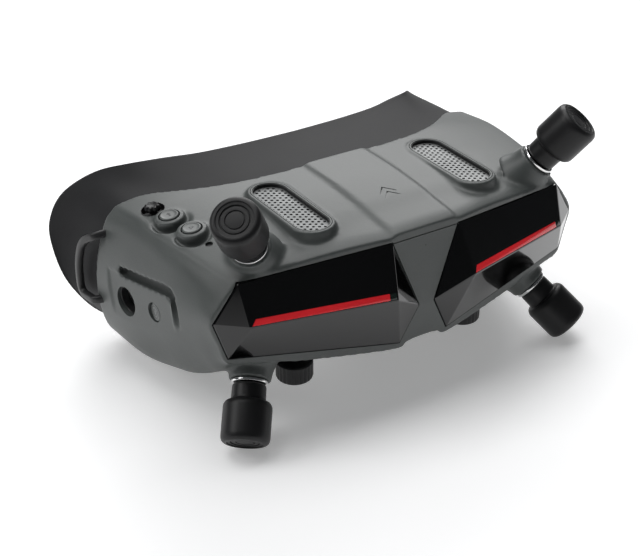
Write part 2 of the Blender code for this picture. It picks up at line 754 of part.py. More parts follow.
def add_shield():
    """The flared light shield, and the soft pad that lines its mouth."""
    rows = [0.0, 0.2, 0.4, 0.6, 0.8, 1.0]
    rings = [[shield_point(index, w) for index in range(len(RIM))] for w in rows]
    shield = mirror_x(place("face_shield", loft("shield", rings, False, False), "shield"))
    wall = shield.modifiers.new("Wall", "SOLIDIFY")
    wall.thickness = 1.8 * MM
    wall.offset = -1.0
    wall.use_even_offset = True
    loops = []
    for index in range(len(RIM)):
        corners = ((0.42, 2.6), (0.7, 2.6), (0.97, 2.6), (0.97, 6.0), (0.72, 8.0), (0.44, 5.4))
        loop = [shield_point(index, w, inset) for w, inset in corners]
        if index in (0, len(RIM) - 1):
            loop = [np.array((0.0, point[1], point[2])) for point in loop]
        loops.append(loop)
    mirror_x(place("face_foam", loft("foam", loops, True, False), "foam"))


def add_strap_hooks():
    corners = ((83.0, 59.5, 8.4), (86.6, 62.5, 7.6), (88.4, 73.8, 2.6), (89.3, 77.4, -9.0))
    corners += ((89.2, 77.0, -22.2), (88.8, 63.5, -20.6), (87.1, 61.5, -20.4))
    for side_name, side in SIDES.items():
        route = [sided(point, side) for point in rounded_route(corners, 1.4)]
        place(f"strap_hook_{side_name}", rod("hook", route, 1.5), "dark")


def rounded_route(corners, radius, steps=2):
    """A polyline with each inner corner turned into a short arc."""
    points = [np.array(corner) for corner in corners]
    route = [points[0]]
    for before, corner, after in zip(points, points[1:], points[2:]):
        start = corner + (before - corner) / np.linalg.norm(before - corner) * radius
        end = corner + (after - corner) / np.linalg.norm(after - corner) * radius
        for step in range(steps + 1):
            t = step / steps
            route.append((1 - t) ** 2 * start + 2 * t * (1 - t) * corner + t**2 * end)
    route.append(points[-1])
    return [tuple(point) for point in route]


def add_optics():
    stand = aim((0, 1, 0))
    middle = (BARREL_FRONT + BARREL_REAR) / 2
    half = (BARREL_REAR - BARREL_FRONT) / 2
    tube = [(BARREL_BORE + 0.5, half), (FLANGE_RADIUS, half - 0.6), (FLANGE_RADIUS, half - 4.0)]
    tube += [(BARREL_RADIUS, half - 4.2), (BARREL_RADIUS, -half), (BARREL_BORE, -half)]
    tube += [(BARREL_BORE, half - 3.0), (BARREL_BORE + 0.5, half)]
    barrel = turned("barrel", tube, 22)
    glass_edge = BARREL_BORE - GAP
    lens = [(0.0, half - 1.0), (7.0, half - 1.7), (glass_edge - 0.6, half - 3.8)]
    lens += [(glass_edge - 0.6, half - 5.6), (7.0, half - 7.4), (0.0, half - 8.0)]
    glass = turned("lens", lens, 22)
    knob = [(0.0, 10.8), (1.9, 10.8), (1.9, 0.0), (KNOB_RADIUS, 0.0), (KNOB_RADIUS, -6.6)]
    knob += [(KNOB_RADIUS - 0.7, -7.4), (0.0, -7.4)]
    knob_mesh = turned("knob", knob, 20)
    for side_name, side in SIDES.items():
        centre = (side * OPTIC_X, middle, OPTIC_Z)
        place(f"lens_barrel_{side_name}", barrel.copy(), "dark", centre, stand)
        place(f"eyepiece_lens_{side_name}", glass.copy(), "glass", centre, stand)
        panel = box("display", (25.0, 2.6, 19.0))
        place(f"display_{side_name}", panel, "dark", (side * OPTIC_X, 12.4, OPTIC_Z))
        add_carriage(side_name, side)
        place(f"focus_knob_{side_name}", knob_mesh.copy(), "dark", (side * KNOB_X, KNOB_Y, -33.4))
    along = aim((1, 0, 0))
    rail = cylinder("rail", RAIL_RADIUS, -52.0, 52.0, 12)
    place("guide_rail_upper", rail, "bright", (0.0, RAIL_Y, OPTIC_Z + RAIL_OFFSET), along)
    for side_name, side in SIDES.items():
        rail = cylinder("rail", RAIL_RADIUS, -16.0, 16.0, 12)
        at = (side * 38.0, RAIL_Y, OPTIC_Z - RAIL_OFFSET)
        place(f"guide_rail_lower_{side_name}", rail, "bright", at, along)


def add_carriage(side_name, side):
    """A block bored for the barrel and for both rails, with the arm that holds the focus knob."""
    block = place(
        f"lens_carriage_{side_name}",
        box("carriage", (14.0, 9.0, 45.8)),
        "dark",
        (side * OPTIC_X, RAIL_Y, OPTIC_Z),
    )
    wide = cylinder("wide", CARRIAGE_RADIUS, -4.0, 4.0, 28)
    at = (side * OPTIC_X, RAIL_Y, OPTIC_Z)
    turn = aim((0, 1, 0))
    boolean(block, place(f"carriage_wide_{side_name}", wide, None, at, turn, True), "UNION")
    arm = box("arm", (8.0, 18.0, 1.6))
    at = (side * KNOB_X, 18.6, -23.9)
    boolean(block, place(f"carriage_arm_{side_name}", arm, None, at, None, True), "UNION")
    bore = cylinder("bore", BARREL_RADIUS + 0.4, -20.0, 20.0, 28)
    at = (side * OPTIC_X, RAIL_Y, OPTIC_Z)
    boolean(block, place(f"carriage_bore_{side_name}", bore, None, at, turn, True))
    for offset in (RAIL_OFFSET, -RAIL_OFFSET):
        bore = cylinder("bore", RAIL_RADIUS + GAP, -40.0, 40.0, 12)
        at = (side * OPTIC_X, RAIL_Y, OPTIC_Z + offset)
        label = f"carriage_rail_{side_name}_{'up' if offset > 0 else 'down'}"
        boolean(block, place(label, bore, None, at, aim((1, 0, 0)), True))
    bore = cylinder("bore", 1.9 + GAP, -30.0, 6.0, 12)
    at = (side * KNOB_X, KNOB_Y, -23.9)
    boolean(block, place(f"carriage_stem_{side_name}", bore, None, at, None, True))


def add_electronics():
    place("main_board", box("main_board", (58.0, 1.6, 30.0)), "board", (0.0, -1.6, -2.0))
    fins = [(-9.0, 0.0), (9.0, 0.0)]
    count = 5
    for fin in range(count):
        right = 9.0 - fin * 18.0 / (count - 0.5)
        left = right - 9.0 / (count - 0.5)
        fins += [(right, -5.0), (left, -5.0), (left, -1.4)]
        if fin < count - 1:
            fins.append((left - 9.0 / (count - 0.5), -1.4))
    fins = fins[:-1] + [(-9.0, -5.0)]
    cooler = flat("heat_sink", fins, 22.0)
    place("heat_sink", cooler, "bright", (0.0, -2.9, -2.0))


def add_controls():
    tilt = aim(UP_TILT)
    pivot = -3.4
    base_plate = flat("joystick_base", [(-5.0, -5.0), (5.0, -5.0), (5.0, 5.0), (-5.0, 5.0)], 2.0)
    place("joystick_base", base_plate, "dark", seat(STICK, pivot - 3.4), tilt)
    yoke = flat("joystick_yoke", circle(3.2, 16), 1.4, [circle(1.7, 12)])
    place("joystick_yoke", yoke, "dark", seat(STICK, pivot), tilt)
    stem = cylinder("joystick_stem", 1.1, -1.4, 3.5, 12)
    place("joystick_stem", stem, "dark", seat(STICK, pivot), tilt)
    star = []
    spikes = 8
    for spike in range(2 * spikes):
        radius = 2.3 if spike % 2 else 3.1
        angle = math.pi * spike / spikes
        star.append((radius * math.cos(angle), radius * math.sin(angle)))
    cap = flat("joystick_cap", star, 2.6)
    place("joystick_cap", cap, "antenna", seat(STICK, pivot + 3.5 + GAP + 1.3), tilt)
    for label, xy in BUTTONS.items():
        cap = [(0.0, 2.5), (2.9, 2.5), (3.5, 2.1), (3.5, -2.0), (0.0, -2.0)]
        place(f"button_cap_{label}", turned("cap", cap, 16), "casing", seat(xy), tilt)
        switch = box("switch", (5.0, 5.0, 3.0))
        place(f"button_switch_{label}", switch, "dark", seat(xy, -4.4), tilt)
    pipe = cylinder("status_led", 1.0, -4.0, -0.3, 12)
    place("status_led", pipe, "light", seat(LED), tilt)
    outward = aim(POCKET_OUT)
    key = [(0.0, 0.2), (3.0, 0.2), (3.4, -0.1), (3.4, -3.2), (0.0, -3.2)]
    place("power_button", turned("key", key, 16), "casing", POWER, outward)
    socket = [(0.0, -2.4), (0.7, -2.4), (1.1, -3.0), (1.1, -9.6), (3.9, -9.6), (3.9, -1.6)]
    socket += [(5.4, -1.6), (5.4, -11.0), (0.0, -11.0)]
    place("dc_jack", turned("dc_jack", socket, 20), "dark", JACK, outward)


add_casing()
add_front_frame()
add_front_covers()
add_centre_plate()
add_vents()
add_fans()
add_antennas()
add_rear_cover()
add_screws()
add_shield()
add_strap_hooks()
add_optics()
add_electronics()
add_controls()
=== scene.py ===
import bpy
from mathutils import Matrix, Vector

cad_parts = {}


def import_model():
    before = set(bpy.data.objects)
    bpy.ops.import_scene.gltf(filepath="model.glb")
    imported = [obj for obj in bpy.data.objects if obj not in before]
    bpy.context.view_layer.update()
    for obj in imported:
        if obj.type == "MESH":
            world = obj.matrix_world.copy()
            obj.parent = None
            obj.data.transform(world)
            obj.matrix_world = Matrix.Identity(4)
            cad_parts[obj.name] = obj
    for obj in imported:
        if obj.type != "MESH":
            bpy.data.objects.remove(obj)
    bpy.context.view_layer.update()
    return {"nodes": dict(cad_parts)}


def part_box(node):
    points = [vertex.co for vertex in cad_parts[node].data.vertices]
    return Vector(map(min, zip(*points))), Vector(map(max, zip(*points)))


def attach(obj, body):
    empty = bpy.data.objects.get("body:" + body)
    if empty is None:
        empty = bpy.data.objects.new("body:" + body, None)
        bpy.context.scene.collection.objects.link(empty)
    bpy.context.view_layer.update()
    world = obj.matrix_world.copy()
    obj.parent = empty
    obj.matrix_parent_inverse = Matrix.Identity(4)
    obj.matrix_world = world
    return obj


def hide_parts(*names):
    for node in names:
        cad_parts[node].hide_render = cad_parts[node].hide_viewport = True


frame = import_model()

import math

import bmesh
import bpy
import numpy as np
from mathutils import Matrix, Vector

# The looks of the FPV goggles. Points are given on the design axes, in millimetres: +X to the
# right when the front is faced, -Y out of the front, +Z up. The frame says where those axes lie.
MM = 0.001
COVER_LOW, COVER_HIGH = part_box("front_panel_right")
RIDGE_Y = -20.0
COVER_TOP = 17.7
SHIFT = Vector((0.0, COVER_LOW[1] / MM - RIDGE_Y, COVER_HIGH[2] / MM - COVER_TOP))

# Casing: the V of its front, the roll of its top lip, the flat waist and the raised middle plate
GAP = 0.35
WALL = 2.2
V_APEX = -15.05
V_SLOPE = 0.1985
LIP_SET_BACK = 0.25
ROLL_DEEP = 1.1
ROLL_LONG = 6.0
ROLL_HALF = 40.0
ROLL_FADE = 24.0
WAIST_Z = (-22.4, -8.5, 17.7)
WAIST_X = (10.1, 3.3, 13.8)
PLATE_LIFT = 0.95
PLATE_EDGE = 14.4
PLATE_RAMP = 2.6
TOP_POWER = 2.5
# How finely the top face is divided, and where the rounding of the crease starts and ends
TOP_STEPS = 60
CREASE_START = 0.978
CREASE_REACH = 0.2
# Curves along the casing: one row each, as (x, z) at the stations along Y
STATIONS = (-15.0, 0.0, 10.0, 28.0, 48.0, 68.4)
TOP_LINE = (20.2, 21.5, 22.7, 23.6, 23.6, 22.8)
CREASE = ((61.0, 12.3), (67.6, 14.2), (70.5, 15.3), (74.5, 16.6), (77.2, 16.6), (77.8, 14.6))
FLANK = (
    ((68.0, 7.0), (72.8, 7.4), (75.0, 8.6), (78.0, 9.8), (80.2, 10.0), (82.2, 8.8)),
    ((74.0, 0.0), (76.8, 0.0), (78.4, -2.0), (81.4, -4.2), (84.2, -5.2), (86.2, -5.8)),
    ((72.0, -9.0), (74.2, -9.0), (76.0, -14.0), (79.8, -19.5), (83.6, -21.0), (86.5, -21.5)),
    ((69.0, -15.5), (71.6, -16.2), (70.5, -25.0), (74.5, -33.2), (80.0, -35.4), (82.4, -34.6)),
)
KEEL = (
    ((62.0, -18.5), (64.0, -18.6), (62.5, -26.6), (64.0, -35.8), (69.0, -38.3), (72.0, -38.8)),
    ((35.0, -22.6), (38.0, -22.6), (38.0, -27.8), (41.0, -36.5), (46.0, -38.6), (48.0, -38.8)),
    ((11.0, -25.0), (12.0, -25.2), (14.0, -27.4), (20.0, -32.5), (25.0, -33.0), (28.0, -33.0)),
    ((6.5, -23.2), (6.5, -23.8), (7.5, -24.0), (10.0, -20.5), (13.0, -14.5), (14.0, -12.5)),
    ((0.0, -22.8), (0.0, -23.4), (0.0, -22.8), (0.0, -16.5), (0.0, -8.5), (0.0, -6.0)),
)
# The rear edge of the casing, as Y at a few distances from the middle
REAR_EDGE_X = (0.0, 13.5, 25.0, 36.0, 46.0, 53.0, 60.0, 65.0, 70.0, 78.0, 90.0)
REAR_EDGE_Y = (44.5, 44.5, 45.4, 47.4, 51.0, 55.0, 60.4, 64.8, 67.4, 68.4, 68.4)
# Gloss covers: outline from the upper inner corner, the ends of the ridge, and the red strip on it
COVER_OUTLINE = (
    (13.8, 17.7),
    (67.1, 13.6),
    (76.0, 0.0),
    (71.3, -14.3),
    (10.1, -22.4),
    (3.3, -8.5),
)
BACKING_OUTLINE = (
    (0.0, 13.6), (13.8, 13.4), (60.0, 10.4), (67.5, 6.8), (71.5, 0.0), (68.8, -10.0),
    (66.0, -14.6), (38.0, -19.8), (12.5, -22.2), (7.6, -18.6), (0.0, -17.8),
)
RIDGE = ((16.2, -20.0, 0.2), (66.0, -7.2, -0.7))
COVER_EDGE = 1.8
STRIP_TALL = (2.9, 2.8)
STRIP_END = 2.8
# Light shield: its rim, and the foot that it grows from, from the top middle round to the nose
RIM = (
    (0.0, 72.0, 23.8),
    (20.0, 73.4, 23.4),
    (38.0, 77.0, 22.4),
    (50.0, 82.0, 21.4),
    (62.0, 88.0, 19.6),
    (70.0, 96.5, 15.6),
    (77.0, 102.6, 10.2),
    (83.0, 105.2, 4.9),
    (88.0, 103.4, -0.6),
    (91.4, 98.5, -6.5),
    (91.6, 90.5, -17.0),
    (88.0, 86.0, -26.0),
    (80.0, 84.0, -36.0),
    (66.0, 82.5, -45.0),
    (50.0, 81.0, -48.6),
    (36.0, 79.5, -46.0),
    (25.0, 77.5, -37.0),
    (15.0, 75.5, -25.0),
    (7.0, 74.0, -15.5),
    (0.0, 73.5, -13.0),
)
FOOT = (
    (0.0, 22.2),
    (16.0, 22.0),
    (32.0, 21.0),
    (46.0, 19.2),
    (58.0, 17.2),
    (67.0, 15.6),
    (74.0, 13.6),
    (79.4, 9.4),
    (82.4, 3.0),
    (84.4, -6.0),
    (84.8, -18.0),
    (83.0, -27.0),
    (77.0, -34.0),
    (64.0, -37.2),
    (50.0, -37.2),
    (38.0, -35.0),
    (28.0, -31.4),
    (17.4, -21.6),
    (8.0, -10.0),
    (0.0, -7.4),
)
SHIELD_WALL = 1.8

# Antennas: lengths and radii, and the seat and direction of the upper and the lower one
ANTENNA_LENGTH = 22.0
NECK_RADIUS = 6.0
HEAD_RADIUS = 8.5
NECK_LENGTH = 7.0
RING_RADIUS = 6.5
RING_HEIGHT = 1.0
STUD_RADIUS = 3.1
BOSS_LENGTH = 9.0
TOP_ANTENNA = ((60.4, 2.4, 23.7), (0.469, -0.428, 0.773))
BOTTOM_ANTENNA = ((61.6, 2.4, -28.5), (0.457, -0.602, -0.654))
ANTENNAS = {"top": TOP_ANTENNA, "bottom": BOTTOM_ANTENNA}

# Vents: a slot with round ends, and the holes of its sheet
VENT_CENTRE = (34.0, 19.8)
VENT_STRAIGHT = 27.0
VENT_OUTER = 7.0
VENT_TOP = 23.7
HOLE_PITCH = 2.1
HOLE_COLUMN = 1.7
HOLE_RADIUS = 0.55
WELL = 6.15

# Controls and inlet at the -X end
STICK = (-70.0, 52.5)
BUTTONS = {"return": (-68.6, 42.5), "record": (-66.6, 30.0)}
LED = (-65.6, 20.2)
POWER = (-80.8, 33.0, -10.2)
POCKET_X = -80.6
INLET = (-82.4, 50.4, -13.6)
INLET_AXIS = (-0.985, -0.14, -0.1)
KNOB = (37.5, 12.5, -33.4)
# What a carriage's arm sweeps inside the casing: how far each way from the knob, and its (y, z) corners
ARM_INWARD = 7.4
ARM_OUTWARD = 8.4
ARM_LOW = (9.2, -25.1)
ARM_HIGH = (28.0, -22.7)
SIDES = {"right": 1, "left": -1}
UP_TILT = Vector((-0.16, 0.0, 1.0)).normalized()


# ---- shapes

def world(point):
    """A design point, in millimetres, as a point of the frame, in metres."""
    return (Vector(point) + SHIFT) * MM


def sided(point, side):
    return (point[0] * side, point[1], point[2])


def aim(direction):
    return Vector(direction).normalized().to_track_quat("Z", "Y").to_matrix().to_4x4()


def settle(data, at, turn=None):
    """Moves a mesh of local millimetres to its place in the frame."""
    data.transform(Matrix.Translation(world(at)) @ (turn or Matrix()) @ Matrix.Scale(MM, 4))
    if (turn or Matrix()).determinant() < 0:
        data.flip_normals()
    return data


def mesh(name, points, faces, local=False):
    """A mesh of design points, or of plain millimetres when local, with its normals outward."""
    shape = bmesh.new()
    corners = [shape.verts.new(Vector(p) if local else world(p)) for p in points]
    for face in faces:
        shape.faces.new([corners[index] for index in face])
    bmesh.ops.recalc_face_normals(shape, faces=shape.faces)
    data = bpy.data.meshes.new(name)
    shape.to_mesh(data)
    shape.free()
    return data


def skin(name, rings, wrap=True, caps=True, close=False, local=False):
    """Quads through rings of equally many points; close joins the last ring to the first."""
    count = len(rings[0])
    points = [point for ring in rings for point in ring]
    sides = count if wrap else count - 1
    rows = len(rings) if close else len(rings) - 1
    faces = []
    for row in range(rows):
        low = row * count
        high = ((row + 1) % len(rings)) * count
        for column in range(sides):
            after = (column + 1) % count
            faces.append((low + column, low + after, high + after, high + column))
    if caps and not close:
        faces.append(tuple(reversed(range(count))))
        faces.append(tuple(range(len(points) - count, len(points))))
    return mesh(name, points, faces, local)


def softened(profile, radius, steps=4):
    """An open profile with its inner corners rounded; radius may be one number or one a corner."""
    points = [np.array(point, float) for point in profile]
    radii = radius if isinstance(radius, (list, tuple)) else [radius] * len(points)
    route = [points[0]]
    for index in range(1, len(points) - 1):
        before, corner, after = points[index - 1 : index + 2]
        reach = min(
            radii[index],
            0.49 * np.linalg.norm(before - corner),
            0.49 * np.linalg.norm(after - corner),
        )
        if reach < 1e-4:
            route.append(corner)
            continue
        start = corner + (before - corner) / np.linalg.norm(before - corner) * reach
        end = corner + (after - corner) / np.linalg.norm(after - corner) * reach
        for step in range(steps + 1):
            t = step / steps
            route.append((1 - t) ** 2 * start + 2 * t * (1 - t) * corner + t**2 * end)
    route.append(points[-1])
    return route


def turned(name, profile, steps=72, radius=0.3, arc=4):
    """A body of revolution about local Z, from a (radius, height) profile with soft corners."""
    route = softened(profile, radius, arc)
    rings = []
    for r, z in route:
        if r < 1e-6:
            continue
        angles = [2 * math.pi * step / steps for step in range(steps)]
        rings.append([(r * math.cos(a), r * math.sin(a), z) for a in angles])
    hollow = route[0][0] > 1e-6 and route[-1][0] > 1e-6
    return skin(name, rings, close=hollow, local=True)


def circle(radius, count=32, centre=(0.0, 0.0)):
    angles = [2 * math.pi * step / count for step in range(count)]
    return [(centre[0] + radius * math.cos(a), centre[1] + radius * math.sin(a)) for a in angles]


def stadium(radius, straight, count=20):
    """Outline of a slot with round ends, its straight sides along Y."""
    outline = []
    for end in (1, -1):
        for step in range(count + 1):
            angle = math.pi * step / count + (0 if end > 0 else math.pi)
            outline.append((radius * math.cos(angle), radius * math.sin(angle) + end * straight / 2))
    return outline


def plate(name, outline, low, high, holes=()):
    """A flat piece between two local heights, from an outline with holes in it."""
    curve = bpy.data.curves.new(name, "CURVE")
    curve.dimensions = "2D"
    curve.fill_mode = "BOTH"
    curve.extrude = (high - low) / 2
    for edge in (outline, *holes):
        spline = curve.splines.new("POLY")
        spline.points.add(len(edge) - 1)
        for point, (x, y) in zip(spline.points, edge):
            point.co = (x, y, 0.0, 1.0)
        spline.use_cyclic_u = True
    source = bpy.data.objects.new(name, curve)
    bpy.context.scene.collection.objects.link(source)
    data = evaluated(source, 1e-4)
    bpy.data.objects.remove(source)
    data.transform(Matrix.Translation((0, 0, (low + high) / 2)))
    return data


def evaluated(source, weld=1e-7):
    """The mesh that an object's modifiers make, welded."""
    bpy.context.view_layer.update()
    graph = bpy.context.evaluated_depsgraph_get()
    data = bpy.data.meshes.new_from_object(source.evaluated_get(graph))
    if weld:
        shape = bmesh.new()
        shape.from_mesh(data)
        bmesh.ops.remove_doubles(shape, verts=shape.verts, dist=weld)
        shape.to_mesh(data)
        shape.free()
    return data


def piece(name, data, look, body="root", nodes=(), angle=32.0):
    """Puts a finished mesh in the scene as a piece that rides on a body."""
    thing = bpy.data.objects.new(name, data)
    bpy.context.scene.collection.objects.link(thing)
    data.materials.clear()
    data.materials.append(look)
    data.shade_smooth()
    data.set_sharp_from_angle(angle=math.radians(angle))
    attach(thing, body)
    if nodes:
        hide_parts(*nodes)
    return thing


def helper(data):
    thing = bpy.data.objects.new("helper", data)
    bpy.context.scene.collection.objects.link(thing)
    return thing


def combined(base, others, operation="DIFFERENCE", solver="EXACT"):
    """The mesh of a base with every other mesh cut from it, or joined to it."""
    source = helper(base)
    tools = [helper(other) for other in others]
    for tool in tools:
        step = source.modifiers.new(operation, "BOOLEAN")
        step.operation = operation
        step.object = tool
        step.solver = solver
    data = evaluated(source, 1e-7 if solver == "EXACT" else 0.0)
    for thing in (source, *tools):
        bpy.data.objects.remove(thing)
    return data


def edged(data, width, segments=2, angle=30.0):
    """The mesh with its sharp edges rounded, in millimetres."""
    source = helper(data)
    rounding = source.modifiers.new("Round", "BEVEL")
    rounding.width = width * MM
    rounding.segments = segments
    rounding.limit_method = "ANGLE"
    rounding.angle_limit = math.radians(angle)
    rounding.harden_normals = False
    made = evaluated(source)
    bpy.data.objects.remove(source)
    return made


def hermite(x, xs, ys):
    """Smooth interpolation through a few stations."""
    x = min(max(x, xs[0]), xs[-1])
    span = min(max(int(np.searchsorted(xs, x)) - 1, 0), len(xs) - 2)
    slopes = [(ys[i + 1] - ys[i]) / (xs[i + 1] - xs[i]) for i in range(len(xs) - 1)]

    def slope(index):
        if index in (0, len(xs) - 1):
            return slopes[0] if index == 0 else slopes[-1]
        a, b = slopes[index - 1], slopes[index]
        return 0.0 if a * b <= 0 else 2 * a * b / (a + b)

    width = xs[span + 1] - xs[span]
    t = (x - xs[span]) / width
    return (
        (2 * t**3 - 3 * t**2 + 1) * ys[span]
        + (t**3 - 2 * t**2 + t) * width * slope(span)
        + (3 * t**2 - 2 * t**3) * ys[span + 1]
        + (t**3 - t**2) * width * slope(span + 1)
    )


def through(points, samples):
    """A Catmull-Rom curve through the points, with so many samples to a span."""
    ends = [points[0], *points, points[-1]]
    curve = []
    for span in range(len(points) - 1):
        before, start, end, after = (np.array(p, float) for p in ends[span : span + 4])
        for step in range(samples):
            t = step / samples
            curve.append(
                0.5
                * (
                    2 * start
                    + (end - before) * t
                    + (2 * before - 5 * start + 4 * end - after) * t**2
                    + (3 * start - before - 3 * end + after) * t**3
                )
            )
    curve.append(np.array(points[-1], float))
    return curve


def spread(row, y):
    xs = hermite(y, STATIONS, [point[0] for point in row])
    return xs, hermite(y, STATIONS, [point[1] for point in row])


def top_z(x, y):
    """Height of the casing's outer top face."""
    peak = hermite(y, STATIONS, TOP_LINE)
    edge_x, edge_z = spread(CREASE, y)
    return peak - (peak - edge_z) * (abs(x) / edge_x) ** TOP_POWER


def rear_edge(x):
    return hermite(x, REAR_EDGE_X, REAR_EDGE_Y)


def half_section(y):
    """The casing's right half at one y, from the top middle round the end to the bottom middle."""
    edge_x, edge_z = spread(CREASE, y)
    shares = [step / TOP_STEPS * CREASE_START for step in range(TOP_STEPS + 1)]
    top = [np.array((edge_x * t, top_z(edge_x * t, y))) for t in shares]
    flank = [spread(row, y) for row in FLANK]
    keel = [spread(row, y) for row in KEEL]
    corner = np.array((edge_x, edge_z))
    down = np.array(flank[0]) - corner
    after = corner + CREASE_REACH * down
    turn = []
    for step in range(1, 6):
        t = step / 6
        turn.append((1 - t) ** 2 * top[-1] + 2 * t * (1 - t) * corner + t**2 * after)
    rest = through([tuple(after), *flank, *keel], 7)
    return [*top, *turn, *rest]


def smooth(t):
    t = min(max(t, 0.0), 1.0)
    return t * t * (3 - 2 * t)


def v_front(x, z=None):
    """Where the front stands in Y: a V, flattened at a height z between the covers' inner edges."""
    if z is None:
        return V_APEX + V_SLOPE * abs(x)
    return V_APEX + V_SLOPE * max(abs(x), float(np.interp(z, WAIST_Z, WAIST_X)))


def top_relief(x, y):
    """What the roll of the front lip and the raised middle plate add to the top face."""
    behind = (y - v_front(x, COVER_TOP)) / ROLL_LONG
    roll = max(0.0, 1.0 - behind) ** 2 * (1 - smooth((abs(x) - ROLL_HALF) / ROLL_FADE))
    return PLATE_LIFT * smooth((PLATE_EDGE - abs(x)) / PLATE_RAMP) - ROLL_DEEP * roll


def casing_ring(v):
    """One ring of the casing's skin: v is 0 at the front edge and 1 at the rear edge."""
    count = len(half_section(0.0))
    sections = {}
    ring = []
    for index in range(count):
        y = 20.0
        for _ in range(5):
            key = round(y, 1)
            if key not in sections:
                sections[key] = half_section(key)
            x, z = sections[key][index]
            front = v_front(x, COVER_TOP if index <= TOP_STEPS else WAIST_Z[0])
            y = (1 - v) * (front + LIP_SET_BACK) + v * rear_edge(x)
        if index <= TOP_STEPS:
            z = z + top_relief(x, y)
        ring.append((float(x), float(y), float(z)))
    return ring + [(-x, y, z) for x, y, z in reversed(ring[1:-1])]


def seat(xy, lift=0.0):
    return Vector((xy[0], xy[1], top_z(*xy))) + UP_TILT * lift


# ---- finishes

def nodes_of(name):
    look = bpy.data.materials.new(name)
    look.use_nodes = True
    tree = look.node_tree
    return look, tree.nodes, tree.links, tree.nodes["Principled BSDF"]


def ramp(nodes, links, source, low, high, at=(0.35, 0.65)):
    """A colour ramp between two colours, fed by a value."""
    made = nodes.new("ShaderNodeValToRGB")
    made.color_ramp.elements[0].position = at[0]
    made.color_ramp.elements[1].position = at[1]
    made.color_ramp.elements[0].color = (*low, 1.0)
    made.color_ramp.elements[1].color = (*high, 1.0)
    links.new(source, made.inputs["Fac"])
    return made.outputs["Color"]


def spread_value(nodes, links, source, low, high):
    made = nodes.new("ShaderNodeMapRange")
    made.inputs["To Min"].default_value = low
    made.inputs["To Max"].default_value = high
    links.new(source, made.inputs["Value"])
    return made.outputs["Result"]


def noise_at(nodes, links, scale, detail=3.0, rough=0.55):
    """Noise on the piece's own coordinates; scale is in features a metre."""
    where = nodes.new("ShaderNodeTexCoord")
    made = nodes.new("ShaderNodeTexNoise")
    made.inputs["Scale"].default_value = scale
    made.inputs["Detail"].default_value = detail
    made.inputs["Roughness"].default_value = rough
    links.new(where.outputs["Object"], made.inputs["Vector"])
    return made.outputs["Fac"]


def bump_from(nodes, links, shader, heights):
    """Bumps stacked on the shader; each is (height value, distance in metres, strength)."""
    normal = None
    for height, distance, strength in heights:
        made = nodes.new("ShaderNodeBump")
        made.inputs["Distance"].default_value = distance
        made.inputs["Strength"].default_value = strength
        links.new(height, made.inputs["Height"])
        if normal is not None:
            links.new(normal, made.inputs["Normal"])
        normal = made.outputs["Normal"]
    links.new(normal, shader.inputs["Normal"])


def moulded(name, dark, light, rough, grain=2600.0, depth=0.00004, strength=0.35, coat=0.0):
    """Moulded plastic: a spark-eroded grain, faint mottling and uneven sheen."""
    look, nodes, links, shader = nodes_of(name)
    wide = noise_at(nodes, links, 28.0, 4.0)
    fine = noise_at(nodes, links, grain, 2.0, 0.6)
    coarse = noise_at(nodes, links, grain / 3.1, 2.0, 0.5)
    mixed = nodes.new("ShaderNodeMath")
    mixed.operation = "MULTIPLY_ADD"
    mixed.inputs[1].default_value = 0.35
    links.new(fine, mixed.inputs[0])
    scaled = nodes.new("ShaderNodeMath")
    scaled.operation = "MULTIPLY"
    scaled.inputs[1].default_value = 0.65
    links.new(wide, scaled.inputs[0])
    links.new(scaled.outputs[0], mixed.inputs[2])
    links.new(ramp(nodes, links, mixed.outputs[0], dark, light), shader.inputs["Base Color"])
    links.new(spread_value(nodes, links, wide, rough - 0.05, rough + 0.06), shader.inputs["Roughness"])
    bump_from(nodes, links, shader, [(coarse, depth * 1.6, strength * 0.7), (fine, depth, strength)])
    if coat:
        shader.inputs["Coat Weight"].default_value = coat
        shader.inputs["Coat Roughness"].default_value = 0.12
    return look


def glossy(name, low, high, rough=0.05):
    """Polished plastic with a faint orange peel and a few fine hairlines in its sheen."""
    look, nodes, links, shader = nodes_of(name)
    wide = noise_at(nodes, links, 35.0, 3.0)
    peel = noise_at(nodes, links, 420.0, 1.0)
    smear = noise_at(nodes, links, 150.0, 5.0, 0.7)
    links.new(ramp(nodes, links, wide, low, high), shader.inputs["Base Color"])
    links.new(spread_value(nodes, links, smear, rough, rough + 0.05), shader.inputs["Roughness"])
    shader.inputs["Coat Weight"].default_value = 0.35
    shader.inputs["Coat Roughness"].default_value = 0.03
    bump_from(nodes, links, shader, [(peel, 0.00001, 0.06)])
    return look


def metal(name, low, high, rough, grain=900.0):
    look, nodes, links, shader = nodes_of(name)
    wide = noise_at(nodes, links, 60.0, 3.0)
    fine = noise_at(nodes, links, grain, 4.0, 0.7)
    links.new(ramp(nodes, links, wide, low, high), shader.inputs["Base Color"])
    links.new(spread_value(nodes, links, fine, rough * 0.8, rough * 1.3), shader.inputs["Roughness"])
    shader.inputs["Metallic"].default_value = 1.0
    bump_from(nodes, links, shader, [(fine, 0.000012, 0.25)])
    return look


